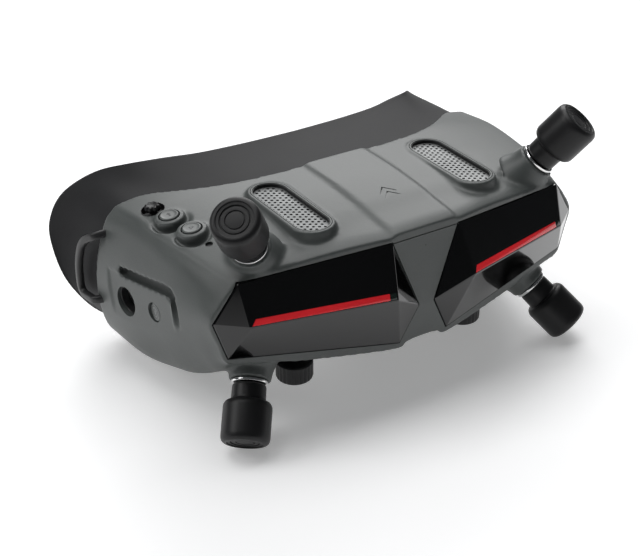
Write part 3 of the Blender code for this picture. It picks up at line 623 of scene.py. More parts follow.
def cloth(name, dark, light, pitch=1500.0):
    """Foam faced with a fine knit: crossed waves, fuzz and soft sheen."""
    look, nodes, links, shader = nodes_of(name)
    where = nodes.new("ShaderNodeTexCoord")
    waves = []
    for direction in ("X", "Z"):
        wave = nodes.new("ShaderNodeTexWave")
        wave.bands_direction = direction
        wave.inputs["Scale"].default_value = pitch / 6.28
        wave.inputs["Distortion"].default_value = 1.2
        wave.inputs["Detail"].default_value = 1.0
        links.new(where.outputs["Object"], wave.inputs["Vector"])
        waves.append(wave.outputs["Fac"])
    knit = nodes.new("ShaderNodeMath")
    knit.operation = "MULTIPLY"
    links.new(waves[0], knit.inputs[0])
    links.new(waves[1], knit.inputs[1])
    fuzz = noise_at(nodes, links, 3200.0, 3.0, 0.7)
    links.new(ramp(nodes, links, knit.outputs[0], dark, light, (0.1, 0.8)), shader.inputs["Base Color"])
    shader.inputs["Roughness"].default_value = 0.95
    shader.inputs["Sheen Weight"].default_value = 0.35
    shader.inputs["Sheen Roughness"].default_value = 0.5
    bump_from(nodes, links, shader, [(knit.outputs[0], 0.00012, 0.6), (fuzz, 0.00005, 0.5)])
    return look


def glass(name):
    look, nodes, links, shader = nodes_of(name)
    wide = noise_at(nodes, links, 40.0, 2.0)
    links.new(
        ramp(nodes, links, wide, (0.30, 0.36, 0.50), (0.40, 0.34, 0.52)), shader.inputs["Base Color"]
    )
    smear = noise_at(nodes, links, 90.0, 5.0, 0.7)
    links.new(spread_value(nodes, links, smear, 0.02, 0.07), shader.inputs["Roughness"])
    shader.inputs["IOR"].default_value = 1.52
    shader.inputs["Transmission Weight"].default_value = 0.85
    shader.inputs["Coat Weight"].default_value = 0.8
    shader.inputs["Coat Roughness"].default_value = 0.02
    return look


def tune(look, socket, value):
    look.node_tree.nodes["Principled BSDF"].inputs[socket].default_value = value


CASING = moulded("casing_plastic", (0.060, 0.067, 0.065), (0.082, 0.090, 0.087), 0.42)
CASING_KEY = moulded("key_plastic", (0.070, 0.077, 0.075), (0.092, 0.100, 0.097), 0.36)
SHIELD = moulded("shield_plastic", (0.011, 0.011, 0.012), (0.017, 0.017, 0.0185), 0.6)
tune(SHIELD, "Specular IOR Level", 0.22)
BLACK = moulded("black_plastic", (0.010, 0.010, 0.0105), (0.018, 0.018, 0.019), 0.42)
ANTENNA = moulded("antenna_plastic", (0.008, 0.008, 0.0085), (0.013, 0.013, 0.0138), 0.4)
tune(ANTENNA, "Specular IOR Level", 0.3)
GLOSS = glossy("gloss_cover", (0.0006, 0.0006, 0.0007), (0.0012, 0.0012, 0.0014))
SMOKED = glossy("smoked_end", (0.008, 0.016, 0.013), (0.014, 0.024, 0.020))
RED_GLOW = glossy("red_strip_painted_glow", (0.58, 0.014, 0.020), (0.70, 0.026, 0.032), 0.12)
# Painted glow: a faint red emission makes the strip look brighter; it stands in for light falling on it,
# the strip is not lit
tune(RED_GLOW, "Emission Color", (0.80, 0.02, 0.03, 1.0))
tune(RED_GLOW, "Emission Strength", 0.16)
BRIGHT = metal("bright_plating", (0.72, 0.72, 0.72), (0.86, 0.86, 0.86), 0.12)
STEEL = metal("screw_steel", (0.32, 0.32, 0.33), (0.42, 0.42, 0.43), 0.3)
GRILLE = metal("perforated_sheet", (0.19, 0.195, 0.195), (0.25, 0.255, 0.255), 0.55)
COOLER = metal("cooler_metal", (0.5, 0.5, 0.5), (0.62, 0.62, 0.62), 0.35)
FOAM = cloth("foam_cloth", (0.010, 0.010, 0.011), (0.028, 0.028, 0.030))
LENS = glass("coated_lens")
SCREEN = glossy("display_panel", (0.004, 0.004, 0.006), (0.008, 0.008, 0.011))
BOARD = moulded("circuit_board", (0.004, 0.040, 0.016), (0.008, 0.062, 0.026), 0.35, 1800.0)
MARK = moulded("icon_ink", (0.012, 0.013, 0.013), (0.018, 0.019, 0.019), 0.5)


# ---- casing

def flare(length, foot, top):
    """A boss that sweeps out from a narrow mouth to a wide foot, about local Z."""
    profile = [(0.0, -GAP), (top, -GAP)]
    for step in range(1, 9):
        t = step / 8
        profile.append((top + (foot - top) * t**1.8, -GAP - t * length))
    profile.append((0.0, -GAP - length))
    return turned("boss", profile, 48, 0.0)


TROUGH_RADIUS = 2.1
POCKET_TURN = Matrix.Rotation(math.radians(-8.5), 4, "X") @ Matrix.Rotation(math.radians(8.0), 4, "Z")
POCKET_AT = (POCKET_X, 38.2, 2.0)


def block(low, high, radius=0.0):
    """A box between two local corners, its edges rounded."""
    shape = bmesh.new()
    middle = (Vector(low) + Vector(high)) / 2
    size = Vector(high) - Vector(low)
    spot = Matrix.Translation(middle) @ Matrix.Diagonal((*size, 1.0))
    bmesh.ops.create_cube(shape, size=1.0, matrix=spot)
    if radius:
        bmesh.ops.bevel(shape, geom=shape.edges[:], offset=radius, segments=4, affect="EDGES")
    data = bpy.data.meshes.new("block")
    shape.to_mesh(data)
    shape.free()
    return data


def trough():
    """The finger groove along the top of the pocket, which turns down at its front end and fades."""
    path = [(0.2, 16.6, -2.4), (0.2, 8.0, -2.4), (0.2, 0.0, -2.4), (0.2, -8.0, -2.4), (0.2, -12.6, -2.6)]
    path += [(0.0, -15.4, -4.0), (-0.6, -16.8, -7.0), (-1.5, -17.2, -11.0), (-2.8, -17.3, -15.0)]
    path = through(path, 5)
    rings = []
    for index, spot in enumerate(path):
        ahead = path[min(index + 1, len(path) - 1)]
        behind = path[max(index - 1, 0)]
        axis = (Vector(ahead) - Vector(behind)).normalized()
        up = axis.cross(Vector((1, 0, 0))).normalized()
        side = up.cross(axis)
        start = 1 - min(1.0, 0.25 + index / 3)
        taper = 1 - 0.25 * smooth((index / (len(path) - 1) - 0.6) / 0.4)
        radius = TROUGH_RADIUS * math.sqrt(1 - start**2) * taper
        rings.append([tuple(Vector(spot) + side * x + up * y) for x, y in circle(radius, 28)])
    return skin("trough", rings, local=True)


def bore(radius, low, high, at, axis, steps=48):
    data = turned("bore", [(0.0, high), (radius, high), (radius, low), (0.0, low)], steps, 0.0)
    return settle(data, at, aim(axis))


def casing_body():
    """The whole casing as one solid, its ends closed by points well outside it."""
    rings = [casing_ring(v) for v in (-0.04, 0.0, 0.03, 0.08, 0.2, 0.35, 0.5, 0.65, 0.8, 0.92)]
    points = [point for ring in rings for point in ring]
    count = len(rings[0])
    points += [(0.0, -40.0, -2.0), (0.0, 68.0, 4.0)]
    faces = []
    for row in range(len(rings) - 1):
        for column in range(count):
            after = (column + 1) % count
            low, high = row * count, (row + 1) * count
            faces.append((low + column, low + after, high + after, high + column))
    last = (len(rings) - 1) * count
    for column in range(count):
        after = (column + 1) % count
        faces.append((len(points) - 2, after, column))
        faces.append((len(points) - 1, last + column, last + after))
    return mesh("body", points, faces)


def grown(outline, by):
    """A convex outline moved outwards, its corners kept."""
    middle = np.mean([np.array(point) for point in outline], axis=0)
    lines = []
    for index, start in enumerate(outline):
        end = outline[(index + 1) % len(outline)]
        along = np.array(end) - np.array(start)
        normal = np.array((along[1], -along[0])) / np.linalg.norm(along)
        if normal.dot(np.array(start) - middle) < 0:
            normal = -normal
        lines.append((normal, normal.dot(np.array(start)) + by))
    moved = []
    for index in range(len(outline)):
        (a, u), (b, w) = lines[index - 1], lines[index]
        moved.append(tuple(np.linalg.solve(np.array((a, b)), np.array((u, w)))))
    return moved


def v_prism(outline, front, back, side=1):
    """A prism on one half of the V front, between two offsets in Y."""
    near = [(side * x, v_front(x) + front, z) for x, z in outline]
    far = [(side * x, v_front(x) + back, z) for x, z in outline]
    return skin("prism", [near, far])


def mound():
    """The soft swell that carries a vent."""
    loops = []
    for out, height in ((0.7, -0.08), (1.0, -0.3), (1.15, -0.8), (1.35, -2.0), (1.9, -3.6), (3.0, -5.4)):
        loops.append([(x, y, height) for x, y in stadium(VENT_OUTER + out, VENT_STRAIGHT, 24)])
    return skin("mound", loops, local=True)


def fillet_weights(data):
    """How strongly each point of the casing is smoothed: fully in the junctions of the bosses."""
    count = len(data.vertices)
    flat = np.empty(count * 3, np.float32)
    data.vertices.foreach_get("co", flat)
    points = flat.reshape(-1, 3) / MM - np.array(SHIFT)
    weights = np.zeros(count)

    def fade(value, start, end):
        t = np.clip((value - start) / (end - start), 0.0, 1.0)
        return t * t * (3 - 2 * t)

    for side in SIDES.values():
        for spot, axis in ANTENNAS.values():
            axis = np.array(Vector(sided(axis, side)).normalized())
            away = points - np.array(sided(spot, side))
            along = away @ axis
            radius = np.linalg.norm(away - np.outer(along, axis), axis=1)
            near = fade(along, -1.6, -3.6) * fade(radius, 16.0, 12.5) * fade(along, -18.0, -13.0)
            weights = np.maximum(weights, near)
        x = points[:, 0] - side * VENT_CENTRE[0]
        y = np.maximum(np.abs(points[:, 1] - VENT_CENTRE[1]) - VENT_STRAIGHT / 2, 0.0)
        reach = np.hypot(x, y)
        near = fade(points[:, 2], 23.0, 22.2) * fade(points[:, 2], 14.0, 16.0)
        near = 0.6 * near * fade(reach, 13.0, 10.5)
        weights = np.maximum(weights, near)
    for xy in BUTTONS.values():
        away = points - np.array(seat(xy))
        along = away @ np.array(UP_TILT)
        radius = np.linalg.norm(away - np.outer(along, np.array(UP_TILT)), axis=1)
        near = 0.55 * fade(along, 0.9, -0.4) * fade(radius, 10.0, 8.0) * fade(along, -7.0, -5.0)
        weights = np.maximum(weights, near)
    return weights


def make_casing():
    """The sleeve and its bosses, remeshed into one moulding, then cut for all that it carries."""
    count = 52
    rings = [casing_ring((step / (count - 1)) ** 1.25) for step in range(count)]
    source = helper(skin("casing", rings, caps=False))
    solid = source.modifiers.new("Wall", "SOLIDIFY")
    solid.thickness = WALL * MM
    solid.offset = -1.0
    solid.use_even_offset = True
    base = evaluated(source)
    bpy.data.objects.remove(source)

    slab = []
    for height in (-50.0, -22.4, -8.5, 17.7, 34.0):
        edge = float(np.interp(height, WAIST_Z, WAIST_X))
        row = [(x, v_front(x, height) + LIP_SET_BACK, height) for x in (-95.0, -edge, edge, 95.0)]
        slab.append(row + [(x, y + 3.35, z) for x, y, z in reversed(row)])
    plug = combined(skin("slab", slab), [casing_body()], "INTERSECT", "MANIFOLD")
    backing = settle(block((-8.0, -20.0, -30.0), (4.4, 20.0, 2.6)), POCKET_AT, POCKET_TURN)
    backing = combined(backing, [casing_body()], "INTERSECT", "MANIFOLD")
    bosses = [plug, backing]
    for side in SIDES.values():
        for ring, axis in ANTENNAS.values():
            turn = aim(sided(axis, side))
            bosses.append(settle(flare(BOSS_LENGTH + 0.5, 10.6, 7.3), sided(ring, side), turn))
        bosses.append(settle(mound(), (side * VENT_CENTRE[0], VENT_CENTRE[1], VENT_TOP)))
    for xy in BUTTONS.values():
        floor = turned("floor", [(0.0, 6.0), (7.4, 6.0), (7.4, -5.2), (0.0, -5.2)], 48, 0.0)
        floor = settle(floor, seat(xy), aim(UP_TILT))
        bosses.append(combined(floor, [casing_body()], "INTERSECT", "MANIFOLD"))
    base = combined(base, bosses, "UNION", "MANIFOLD")

    scoop_axis = Vector((-0.34, -0.28, 1.0)).normalized()
    scoops = []
    pillars = []
    for xy in BUTTONS.values():
        bowl = turned("bowl", [(0.0, 7.0), (6.9, 7.0), (6.9, -1.0), (0.0, -1.0)], 48, 1.2)
        scoops.append(settle(bowl, seat(xy) + Vector((0.0, -0.9, -0.2)), aim(scoop_axis)))
        pillar = turned("pillar", [(0.0, 1.5), (5.4, 1.5), (5.2, -6.0), (0.0, -6.0)], 56, 0.9)
        pillars.append(settle(pillar, seat(xy), aim(UP_TILT)))
    pocket = settle(block((-20.0, -17.4, -40.0), (-1.1, 26.0, -0.6), 2.4), POCKET_AT, POCKET_TURN)
    scoops += [pocket, settle(trough(), POCKET_AT, POCKET_TURN)]
    base = combined(base, scoops, "DIFFERENCE", "MANIFOLD")
    base = combined(base, pillars, "UNION", "MANIFOLD")

    source = helper(base)
    remesh = source.modifiers.new("Remesh", "REMESH")
    remesh.mode = "VOXEL"
    remesh.voxel_size = 0.5 * MM
    soften = source.modifiers.new("Soften", "SMOOTH")
    soften.factor = 0.5
    soften.iterations = 7
    made = evaluated(source)
    bpy.data.objects.remove(source)

    source = helper(made)
    group = source.vertex_groups.new(name="fillets")
    for index, weight in enumerate(fillet_weights(made)):
        if weight > 0.02:
            group.add([index], float(weight), "REPLACE")
    soften = source.modifiers.new("Fillets", "SMOOTH")
    soften.factor = 0.5
    soften.iterations = 34
    soften.vertex_group = "fillets"
    made = evaluated(source)
    bpy.data.objects.remove(source)

    holes = []
    for side in SIDES.values():
        for ring, axis in ANTENNAS.values():
            holes.append(bore(STUD_RADIUS + GAP, -20.0, 4.0, sided(ring, side), sided(axis, side)))
        slot = plate("slot", stadium(VENT_OUTER + 0.05, VENT_STRAIGHT, 28), -10.0, 10.0)
        holes.append(settle(slot, (side * VENT_CENTRE[0], VENT_CENTRE[1], VENT_TOP)))
        slot = plate("slot", [(-y, x) for x, y in stadium(2.6, 7.0)], -8.0, 8.0)
        holes.append(settle(slot, (side * (KNOB[0] + 0.5), KNOB[1], -29.0)))
        holes.append(v_prism(grown(COVER_OUTLINE, 0.3), -9.0, 5.0, side))
        near, far = sorted((side * (KNOB[0] - ARM_INWARD), side * (KNOB[0] + ARM_OUTWARD)))
        holes.append(settle(block((near, *ARM_LOW), (far, *ARM_HIGH)), (0.0, 0.0, 0.0)))
    for xy in BUTTONS.values():
        holes.append(bore(3.85, -9.0, 5.0, seat(xy), UP_TILT))
    holes.append(bore(4.3, -9.0, 4.0, seat(STICK), UP_TILT))
    holes.append(bore(1.35, -6.0, 4.0, seat(LED), UP_TILT, 32))
    holes.append(bore(5.55, -12.0, 12.0, INLET, INLET_AXIS))
    holes.append(bore(3.62, -12.0, 12.0, POWER, (-1, 0, 0)))
    waist = v_front(0.0, COVER_TOP)
    groove = block((-13.4, waist - 3.0, 17.25), (13.4, waist + 1.4, 17.6))
    holes.append(settle(groove, (0.0, 0.0, 0.0)))
    for offset in (-1.6, 1.6):
        chevron = []
        for x, y in ((-3.4, -2.4), (0.0, 1.6), (3.4, -2.4), (3.4, -1.7), (0.0, 2.3), (-3.4, -1.7)):
            chevron.append((x, y + offset))
        mark = plate("mark", chevron, -0.35, 3.0)
        holes.append(settle(mark, (0.0, 10.5, top_z(0.0, 10.5) + PLATE_LIFT)))
    made = combined(made, holes, "DIFFERENCE", "MANIFOLD")
    piece("casing_shell", made, CASING, nodes=["front_housing", "centre_plate"], angle=50.0)
    backing = edged(v_half(BACKING_OUTLINE, 2.6, 4.6), 0.2)
    piece("cover_backing", backing, BLACK, nodes=["front_frame"])


def v_half(outline, front, back):
    """One half of a plate that follows the V front, mirrored to both sides."""
    near = [(x, V_APEX + V_SLOPE * x + front, z) for x, z in outline]
    far = [(x, V_APEX + V_SLOPE * x + back, z) for x, z in outline]
    count = len(outline)
    points = near + far
    faces = [tuple(range(count)), tuple(range(2 * count - 1, count - 1, -1))]
    for index in range(count):
        after = (index + 1) % count
        if outline[index][0] == 0.0 and outline[after][0] == 0.0:
            continue
        faces.append((index, count + index, count + after, after))
    shape = bmesh.new()
    for side in (1, -1):
        corners = [shape.verts.new(world(sided(point, side))) for point in points]
        for face in faces:
            shape.faces.new([corners[index] for index in face])
    bmesh.ops.remove_doubles(shape, verts=shape.verts, dist=1e-6)
    bmesh.ops.recalc_face_normals(shape, faces=shape.faces)
    data = bpy.data.meshes.new("v_half")
    shape.to_mesh(data)
    shape.free()
    return data


def cover_faces():
    """The facets of one cover: six corners of the base, six behind, and the two ridge ends."""
    rows = [(0, 1, 13, 12), (12, 13, 3, 4), (1, 2, 13), (2, 3, 13), (0, 12, 5), (12, 4, 5)]
    for index in range(6):
        after = (index + 1) % 6
        rows.append((index, 6 + index, 6 + after, after))
    rows.append(tuple(range(6, 12)))
    return rows


def make_covers():
    for side_name, side in SIDES.items():
        front = [(side * x, V_APEX + V_SLOPE * x, z) for x, z in COVER_OUTLINE]
        back = [(x, y + COVER_EDGE, z) for x, y, z in front]
        ridge = [sided(point, side) for point in RIDGE]
        body = edged(mesh("cover", front + back + ridge, cover_faces()), 0.34, 3, 8.0)
        near, far = (np.array(point) for point in ridge)
        left, right = (near, far) if side > 0 else (far, near)
        length = float(np.linalg.norm(right - left))
        along = (right - left) / length
        tops = [np.array(point) for point in front[:2]]
        across = (tops[0] + tops[1]) / 2 - (near + far) / 2
        across = across - along * across.dot(along)
        across = across / np.linalg.norm(across)
        turn = Matrix((along, across, np.cross(along, across))).transposed().to_4x4()

        def tall(spot):
            share = spot / length if side > 0 else 1.0 - spot / length
            return STRIP_TALL[0] + (STRIP_TALL[1] - STRIP_TALL[0]) * share

        def bar(start, end, inset, low, high, lean=0.0):
            outline = [
                (start, 0.4 + inset),
                (end, 0.4 + inset),
                (end, tall(end) - inset),
                (start + lean, tall(start) - inset),
            ]
            return settle(plate("bar", outline, low, high), left, turn)

        body = combined(body, [bar(0.5, length - 0.3, 0.0, -1.2, 3.0, 1.5)])
        piece(
            f"gloss_cover_{side_name}",
            body,
            GLOSS,
            nodes=[f"front_panel_{side_name}"],
            angle=4.0,
        )
        split = length - STRIP_END
        strip = bar(0.62, split - 0.05, 0.12, -1.05, 0.12, 1.5)
        end = bar(split + 0.05, length - 0.42, 0.12, -1.05, 0.10)
        piece(f"red_strip_{side_name}", edged(strip, 0.12), RED_GLOW,
              nodes=[f"light_strip_{side_name}"])
        piece(f"strip_cap_{side_name}", edged(end, 0.12), SMOKED,
              nodes=[f"strip_end_{side_name}"])


# ---- vents

def make_vents():
    for side_name, side in SIDES.items():
        at = (side * VENT_CENTRE[0], VENT_CENTRE[1], VENT_TOP)
        rim = WELL - VENT_OUTER + 0.05
        profile = [(0.0, -3.6), (0.0, -0.4), (-0.15, -0.05), (rim + 0.15, -0.05), (rim, -0.35)]
        profile += [(rim, -0.6), (rim, -3.6)]
        loops = []
        for inward, height in softened(profile, 0.15, 3):
            edge = stadium(VENT_OUTER - 0.05 + inward, VENT_STRAIGHT, 28)
            loops.append([(x, y, height) for x, y in edge])
        data = settle(skin("bezel", loops, close=True, local=True), at)
        piece(f"vent_rim_{side_name}", data, CASING, nodes=[f"vent_bezel_{side_name}"])
        loops = []
        wide, tight = WELL + 0.05, WELL - 0.12
        for radius, height in ((wide, -0.4), (tight, -0.45), (tight, -3.5), (wide, -3.5)):
            edge = stadium(radius, VENT_STRAIGHT, 28)
            loops.append([(x, y, height) for x, y in edge])
        liner = settle(skin("liner", loops, close=True, local=True), at)
        piece(f"vent_liner_{side_name}", liner, BLACK)
        holes = []
        for column in range(-3, 4):
            for row in range(-10, 11):
                x = column * HOLE_COLUMN
                y = (row + (0.5 if column % 2 else 0.0)) * HOLE_PITCH
                beyond = max(abs(y) - VENT_STRAIGHT / 2, 0.0)
                if math.hypot(x, beyond) < WELL - 0.85:
                    holes.append(circle(HOLE_RADIUS, 16, (x, y)))
        sheet = plate("grille", stadium(WELL - 0.05, VENT_STRAIGHT, 24), -1.95, -1.6, holes)
        sheet = settle(sheet, at)
        piece(f"mesh_sheet_{side_name}", sheet, GRILLE, nodes=[f"vent_grille_{side_name}"])


def make_fans():
    for side_name, side in SIDES.items():
        at = (side * 34.0, 14.0, 13.9)
        hub = turned("hub", [(0.0, 1.8), (3.6, 1.8), (3.6, -1.8), (0.0, -1.8)], 40, 0.4)
        parts = [hub]
        for blade in range(7):
            turn = Matrix.Rotation(2 * math.pi * blade / 7, 4, "Z")
            grid = []
            for step in range(6):
                t = step / 5
                radius = 3.2 + 5.6 * t
                sweep = 0.35 * t
                half = 1.5 + 0.9 * t
                row = []
                for share in (-1.0, -0.4, 0.2, 1.0):
                    angle = sweep + share * half / radius
                    row.append((radius * math.cos(angle), radius * math.sin(angle), -share * 1.1))
                under = [(x, y, z - 0.35) for x, y, z in reversed(row)]
                grid.append(row + under)
            data = skin("blade", grid, local=True)
            data.transform(turn)
            parts.append(data)
        rotor = settle(combined(parts[0], parts[1:], "UNION"), at)
        piece(f"rotor_{side_name}", rotor, BLACK, f"fan_{side_name}",
              [f"fan_rotor_{side_name}"])


# ---- antennas

def make_antennas():
    top = ANTENNA_LENGTH
    profile = [
        (0.0, top - 0.75),
        (2.9, top - 0.75),
        (3.0, top - 1.05),
        (3.3, top - 1.05),
        (3.4, top - 0.7),
        (4.6, top - 0.7),
        (4.7, top - 1.0),
        (5.0, top - 1.0),
        (5.15, top - 0.5),
        (6.2, top - 0.5),
        (6.3, top - 0.1),
        (7.2, top - 0.15),
        (HEAD_RADIUS - 0.3, top - 0.9),
        (HEAD_RADIUS, top - 2.2),
        (HEAD_RADIUS, NECK_LENGTH + 1.7),
        (HEAD_RADIUS - 0.9, NECK_LENGTH + 0.3),
        (NECK_RADIUS + 0.35, NECK_LENGTH + 0.15),
        (NECK_RADIUS + 0.1, NECK_LENGTH - 0.35),
        (NECK_RADIUS, NECK_LENGTH - 1.0),
        (NECK_RADIUS - 0.1, RING_HEIGHT + 0.9),
        (NECK_RADIUS - 0.5, RING_HEIGHT + 0.25),
        (0.0, RING_HEIGHT + 0.25),
    ]
    radii = [0.0, 0.06, 0.06, 0.06, 0.06, 0.06, 0.06, 0.06, 0.1, 0.1, 0.12, 0.4, 0.6]
    radii += [1.0, 1.2, 0.8, 0.35, 0.12, 0.2, 0.4, 0.3, 0.2, 0.0]
    ring = [(0.0, RING_HEIGHT), (RING_RADIUS - 0.1, RING_HEIGHT), (RING_RADIUS, RING_HEIGHT / 2)]
    ring += [(RING_RADIUS - 0.1, 0.0), (STUD_RADIUS, 0.0), (STUD_RADIUS, -BOSS_LENGTH - 4.0)]
    ring += [(0.0, -BOSS_LENGTH - 4.0)]
    for side_name, side in SIDES.items():
        for level, (spot, axis) in ANTENNAS.items():
            turn = aim(sided(axis, side))
            body = settle(turned("antenna", profile, 96, radii, 4), sided(spot, side), turn)
            piece(f"stub_{level}_{side_name}", body, ANTENNA,
                  nodes=[f"antenna_{level}_{side_name}"], angle=50.0)
            collar = settle(turned("ring", ring, 72, 0.15), sided(spot, side), turn)
            piece(f"plated_ring_{level}_{side_name}", collar, BRIGHT,
                  nodes=[f"sma_ring_{level}_{side_name}"])


# ---- shield and pad

def dense(points, samples):
    return through([tuple(point) for point in points], samples)


SHIELD_RIM = dense(RIM, 5)
SHIELD_FOOT = dense([(x, rear_edge(x) + GAP, z) for x, z in FOOT], 5)


def shield_point(index, w, inset=0.0):
    """A point on the face shield's skin: w is 0 at the foot and 1 at the rim."""
    foot = SHIELD_FOOT[index]
    rim = SHIELD_RIM[index]
    bend = foot + np.array((0.12, 0.55, 0.12)) * (rim - foot)
    point = (1 - w) ** 2 * foot + 2 * w * (1 - w) * bend + w**2 * rim
    before = SHIELD_RIM[max(index - 2, 0)]
    after = SHIELD_RIM[min(index + 2, len(SHIELD_RIM) - 1)]
    tangent = after - before
    normal = np.array((tangent[2], 0.0, -tangent[0]))
    normal = normal / np.linalg.norm(normal)
    return point + inset * normal


def both_halves(loops):
    """Loops for the right half, from the top middle to the bottom middle, carried round both."""
    left = [[(-x, y, z) for x, y, z in loop] for loop in reversed(loops[1:-1])]
    return loops + left


def on_middle(loop):
    return [(0.0, point[1], point[2]) for point in loop]


def make_shield():
    count = len(SHIELD_RIM)
    rows = [step / 16 for step in range(17)]
    loops = []
    for index in range(count):
        outer = [shield_point(index, w) for w in rows]
        lip = []
        for step in range(1, 6):
            angle = math.pi * step / 6
            share = 0.5 - 0.5 * math.cos(angle)
            back = shield_point(index, 1.0, share * SHIELD_WALL)
            lip.append(back + np.array((0.0, -0.55 + 0.55 * math.sin(angle), 0.0)))
        outer[-1] = outer[-1] - np.array((0.0, 0.55, 0.0))
        inner = [shield_point(index, w, SHIELD_WALL) for w in reversed(rows)]
        inner[0] = inner[0] - np.array((0.0, 0.55, 0.0))
        loop = [tuple(point) for point in outer + lip + inner]
        loops.append(on_middle(loop) if index in (0, count - 1) else loop)
    data = skin("shield", both_halves(loops), close=True)
    piece("light_shield", data, SHIELD, nodes=["face_shield"], angle=50.0)


def make_foam():
    """The pad: a crowned section swept round the mouth, with a sewn groove and a soft lumpy swell."""
    count = len(SHIELD_RIM)
    loops = []
    for index in range(count):
        swell = 1.0 + 0.05 * math.sin(index * 0.9) + 0.03 * math.sin(index * 2.3 + 1.0)
        loop = []
        for step in range(28):
            angle = 2 * math.pi * step / 28
            across = math.cos(angle)
            up = math.sin(angle)
            w = 0.705 + 0.255 * math.copysign(abs(across) ** 0.75, across)
            depth = 2.7 if up < 0 else 2.7 + 4.6 * swell * up**0.7
            groove = math.exp(-(((w - 0.72) / 0.018) ** 2)) * 0.7 if up > 0.3 else 0.0
            loop.append(tuple(shield_point(index, w, depth - groove)))
        loops.append(on_middle(loop) if index in (0, count - 1) else loop)
    data = skin("foam", both_halves(loops), close=True)
    pad = piece("face_pad", data, FOAM, nodes=["face_foam"], angle=60.0)


def make_hooks():
    corners = ((80.4, 66.2, 6.2), (86.4, 67.0, 5.6), (88.4, 74.2, 1.2), (89.3, 77.4, -9.0))
    corners += ((89.2, 77.0, -21.2), (88.6, 66.6, -19.8), (82.0, 65.4, -19.6))
    radii = [0, 1.6, 4.2, 6.0, 4.2, 1.6, 0]
    route = softened(corners, radii, 8)
    for side_name, side in SIDES.items():
        rings = []
        for index, centre in enumerate(route):
            before = route[max(index - 1, 0)]
            after = route[min(index + 1, len(route) - 1)]
            tangent = after - before
            tangent = tangent / np.linalg.norm(tangent)
            wide = np.cross(tangent, np.array((1.0, 0.0, 0.0)))
            wide = wide / np.linalg.norm(wide)
            thick = np.cross(tangent, wide)
            ring = []
            for step in range(20):
                angle = 2 * math.pi * step / 20
                c = math.copysign(abs(math.cos(angle)) ** 0.6, math.cos(angle))
                s = math.copysign(abs(math.sin(angle)) ** 0.6, math.sin(angle))
                ring.append(sided(centre + 1.45 * c * wide + 1.3 * s * thick, side))
            rings.append(ring)
        piece(f"strap_loop_{side_name}", skin("hook", rings), BLACK,
              nodes=[f"strap_hook_{side_name}"], angle=60.0)


# ---- controls

def star_cap():
    """The thumb stick's cap: eight blunt teeth round a dished crown."""
    rings = []
    teeth = 8
    for height, radius, bite in (
        (-1.3, 2.1, 0.25),
        (-0.9, 2.7, 0.42),
        (0.0, 3.0, 0.62),
        (0.7, 2.95, 0.75),
        (1.15, 2.6, 0.7),
        (1.3, 2.1, 0.45),
        (1.1, 1.3, 0.1),
        (1.0, 0.5, 0.0),
    ):
        ring = []
        for step in range(96):
            angle = 2 * math.pi * step / 96
            wave = 0.5 + 0.5 * math.cos(teeth * angle)
            r = radius - bite * (1 - wave**0.8)
            ring.append((r * math.cos(angle), r * math.sin(angle), height))
        rings.append(ring)
    return skin("cap", rings, local=True)


def inlay(outlines, height, deep=0.12):
    """Thin raised marks on a face, from outlines that may hold one hole each."""
    parts = [plate("mark", outer, height - deep, height + 0.03, holes) for outer, holes in outlines]
    shape = bmesh.new()
    for part in parts:
        shape.from_mesh(part)
    data = bpy.data.meshes.new("mark")
    shape.to_mesh(data)
    shape.free()
    return data


def make_controls():
    tilt = aim(UP_TILT)
    cap = settle(star_cap(), seat(STICK, 0.75), tilt)
    piece("thumb_stick_cap", cap, ANTENNA, "joystick_top", ["joystick_cap"])
    well = turned("well", [(4.15, 0.15), (4.15, -2.6), (3.0, -3.2), (2.6, -4.4), (3.2, -4.4),
                           (3.6, -3.7), (4.6, -3.0), (4.6, -1.9), (4.25, 0.15)], 56, 0.1)
    piece("thumb_stick_boot", settle(well, seat(STICK), tilt), BLACK)
    profile = [(0.0, 1.78), (2.2, 1.82), (3.0, 2.0), (3.4, 1.6), (3.4, -2.4), (0.0, -2.4)]
    for label, xy in BUTTONS.items():
        key = settle(turned("key", profile, 64, [0, 0.5, 0.35, 0.3, 0.2, 0]), seat(xy), tilt)
        piece(f"key_{label}", key, CASING_KEY, f"{label}_key", [f"button_cap_{label}"])
    arrow = [(-1.3, 0.0), (-0.3, 0.9), (-0.3, 0.35), (1.1, 0.35), (1.1, -0.35), (-0.3, -0.35), (-0.3, -0.9)]
    triangle = [(-0.9, -0.8), (1.1, -0.8), (0.1, 1.0)]
    hollow = [[(-0.45, -0.52), (0.1, 0.42), (0.65, -0.52)]]
    for label, outline in (("return", [(arrow, ())]), ("record", [(triangle, hollow)])):
        mark = settle(inlay(outline, 1.8), seat(BUTTONS[label]), tilt)
        piece(f"mark_{label}", mark, MARK, f"{label}_key")
    pipe = settle(turned("pipe", [(0.0, -0.6), (1.15, -0.7), (1.15, -4.0), (0.0, -4.0)], 32, 0.1),
                  seat(LED), tilt)
    piece("status_window", pipe, BLACK, nodes=["status_led"])
    outward = aim((-1, 0, 0))
    key = [(0.0, 0.1), (2.9, 0.14), (3.42, -0.1), (3.42, -3.2), (0.0, -3.2)]
    key = settle(turned("key", key, 64, 0.3), POWER, outward)
    piece("power_key_cap", key, CASING_KEY, "power_key", ["power_button"])
    ring = [(circle(2.35, 48), [circle(2.1, 48)])]
    arc = []
    for step in range(25):
        angle = math.radians(50 + 260 * step / 24)
        arc.append((1.25 * math.sin(angle), 1.25 * math.cos(angle)))
    for step in reversed(range(25)):
        angle = math.radians(50 + 260 * step / 24)
        arc.append((1.0 * math.sin(angle), 1.0 * math.cos(angle)))
    bar = [(-0.13, 0.35), (0.13, 0.35), (0.13, 1.45), (-0.13, 1.45)]
    mark = settle(inlay([*ring, (arc, ()), (bar, ())], 0.13, 0.2), POWER, outward)
    piece("mark_power", mark, MARK, "power_key")


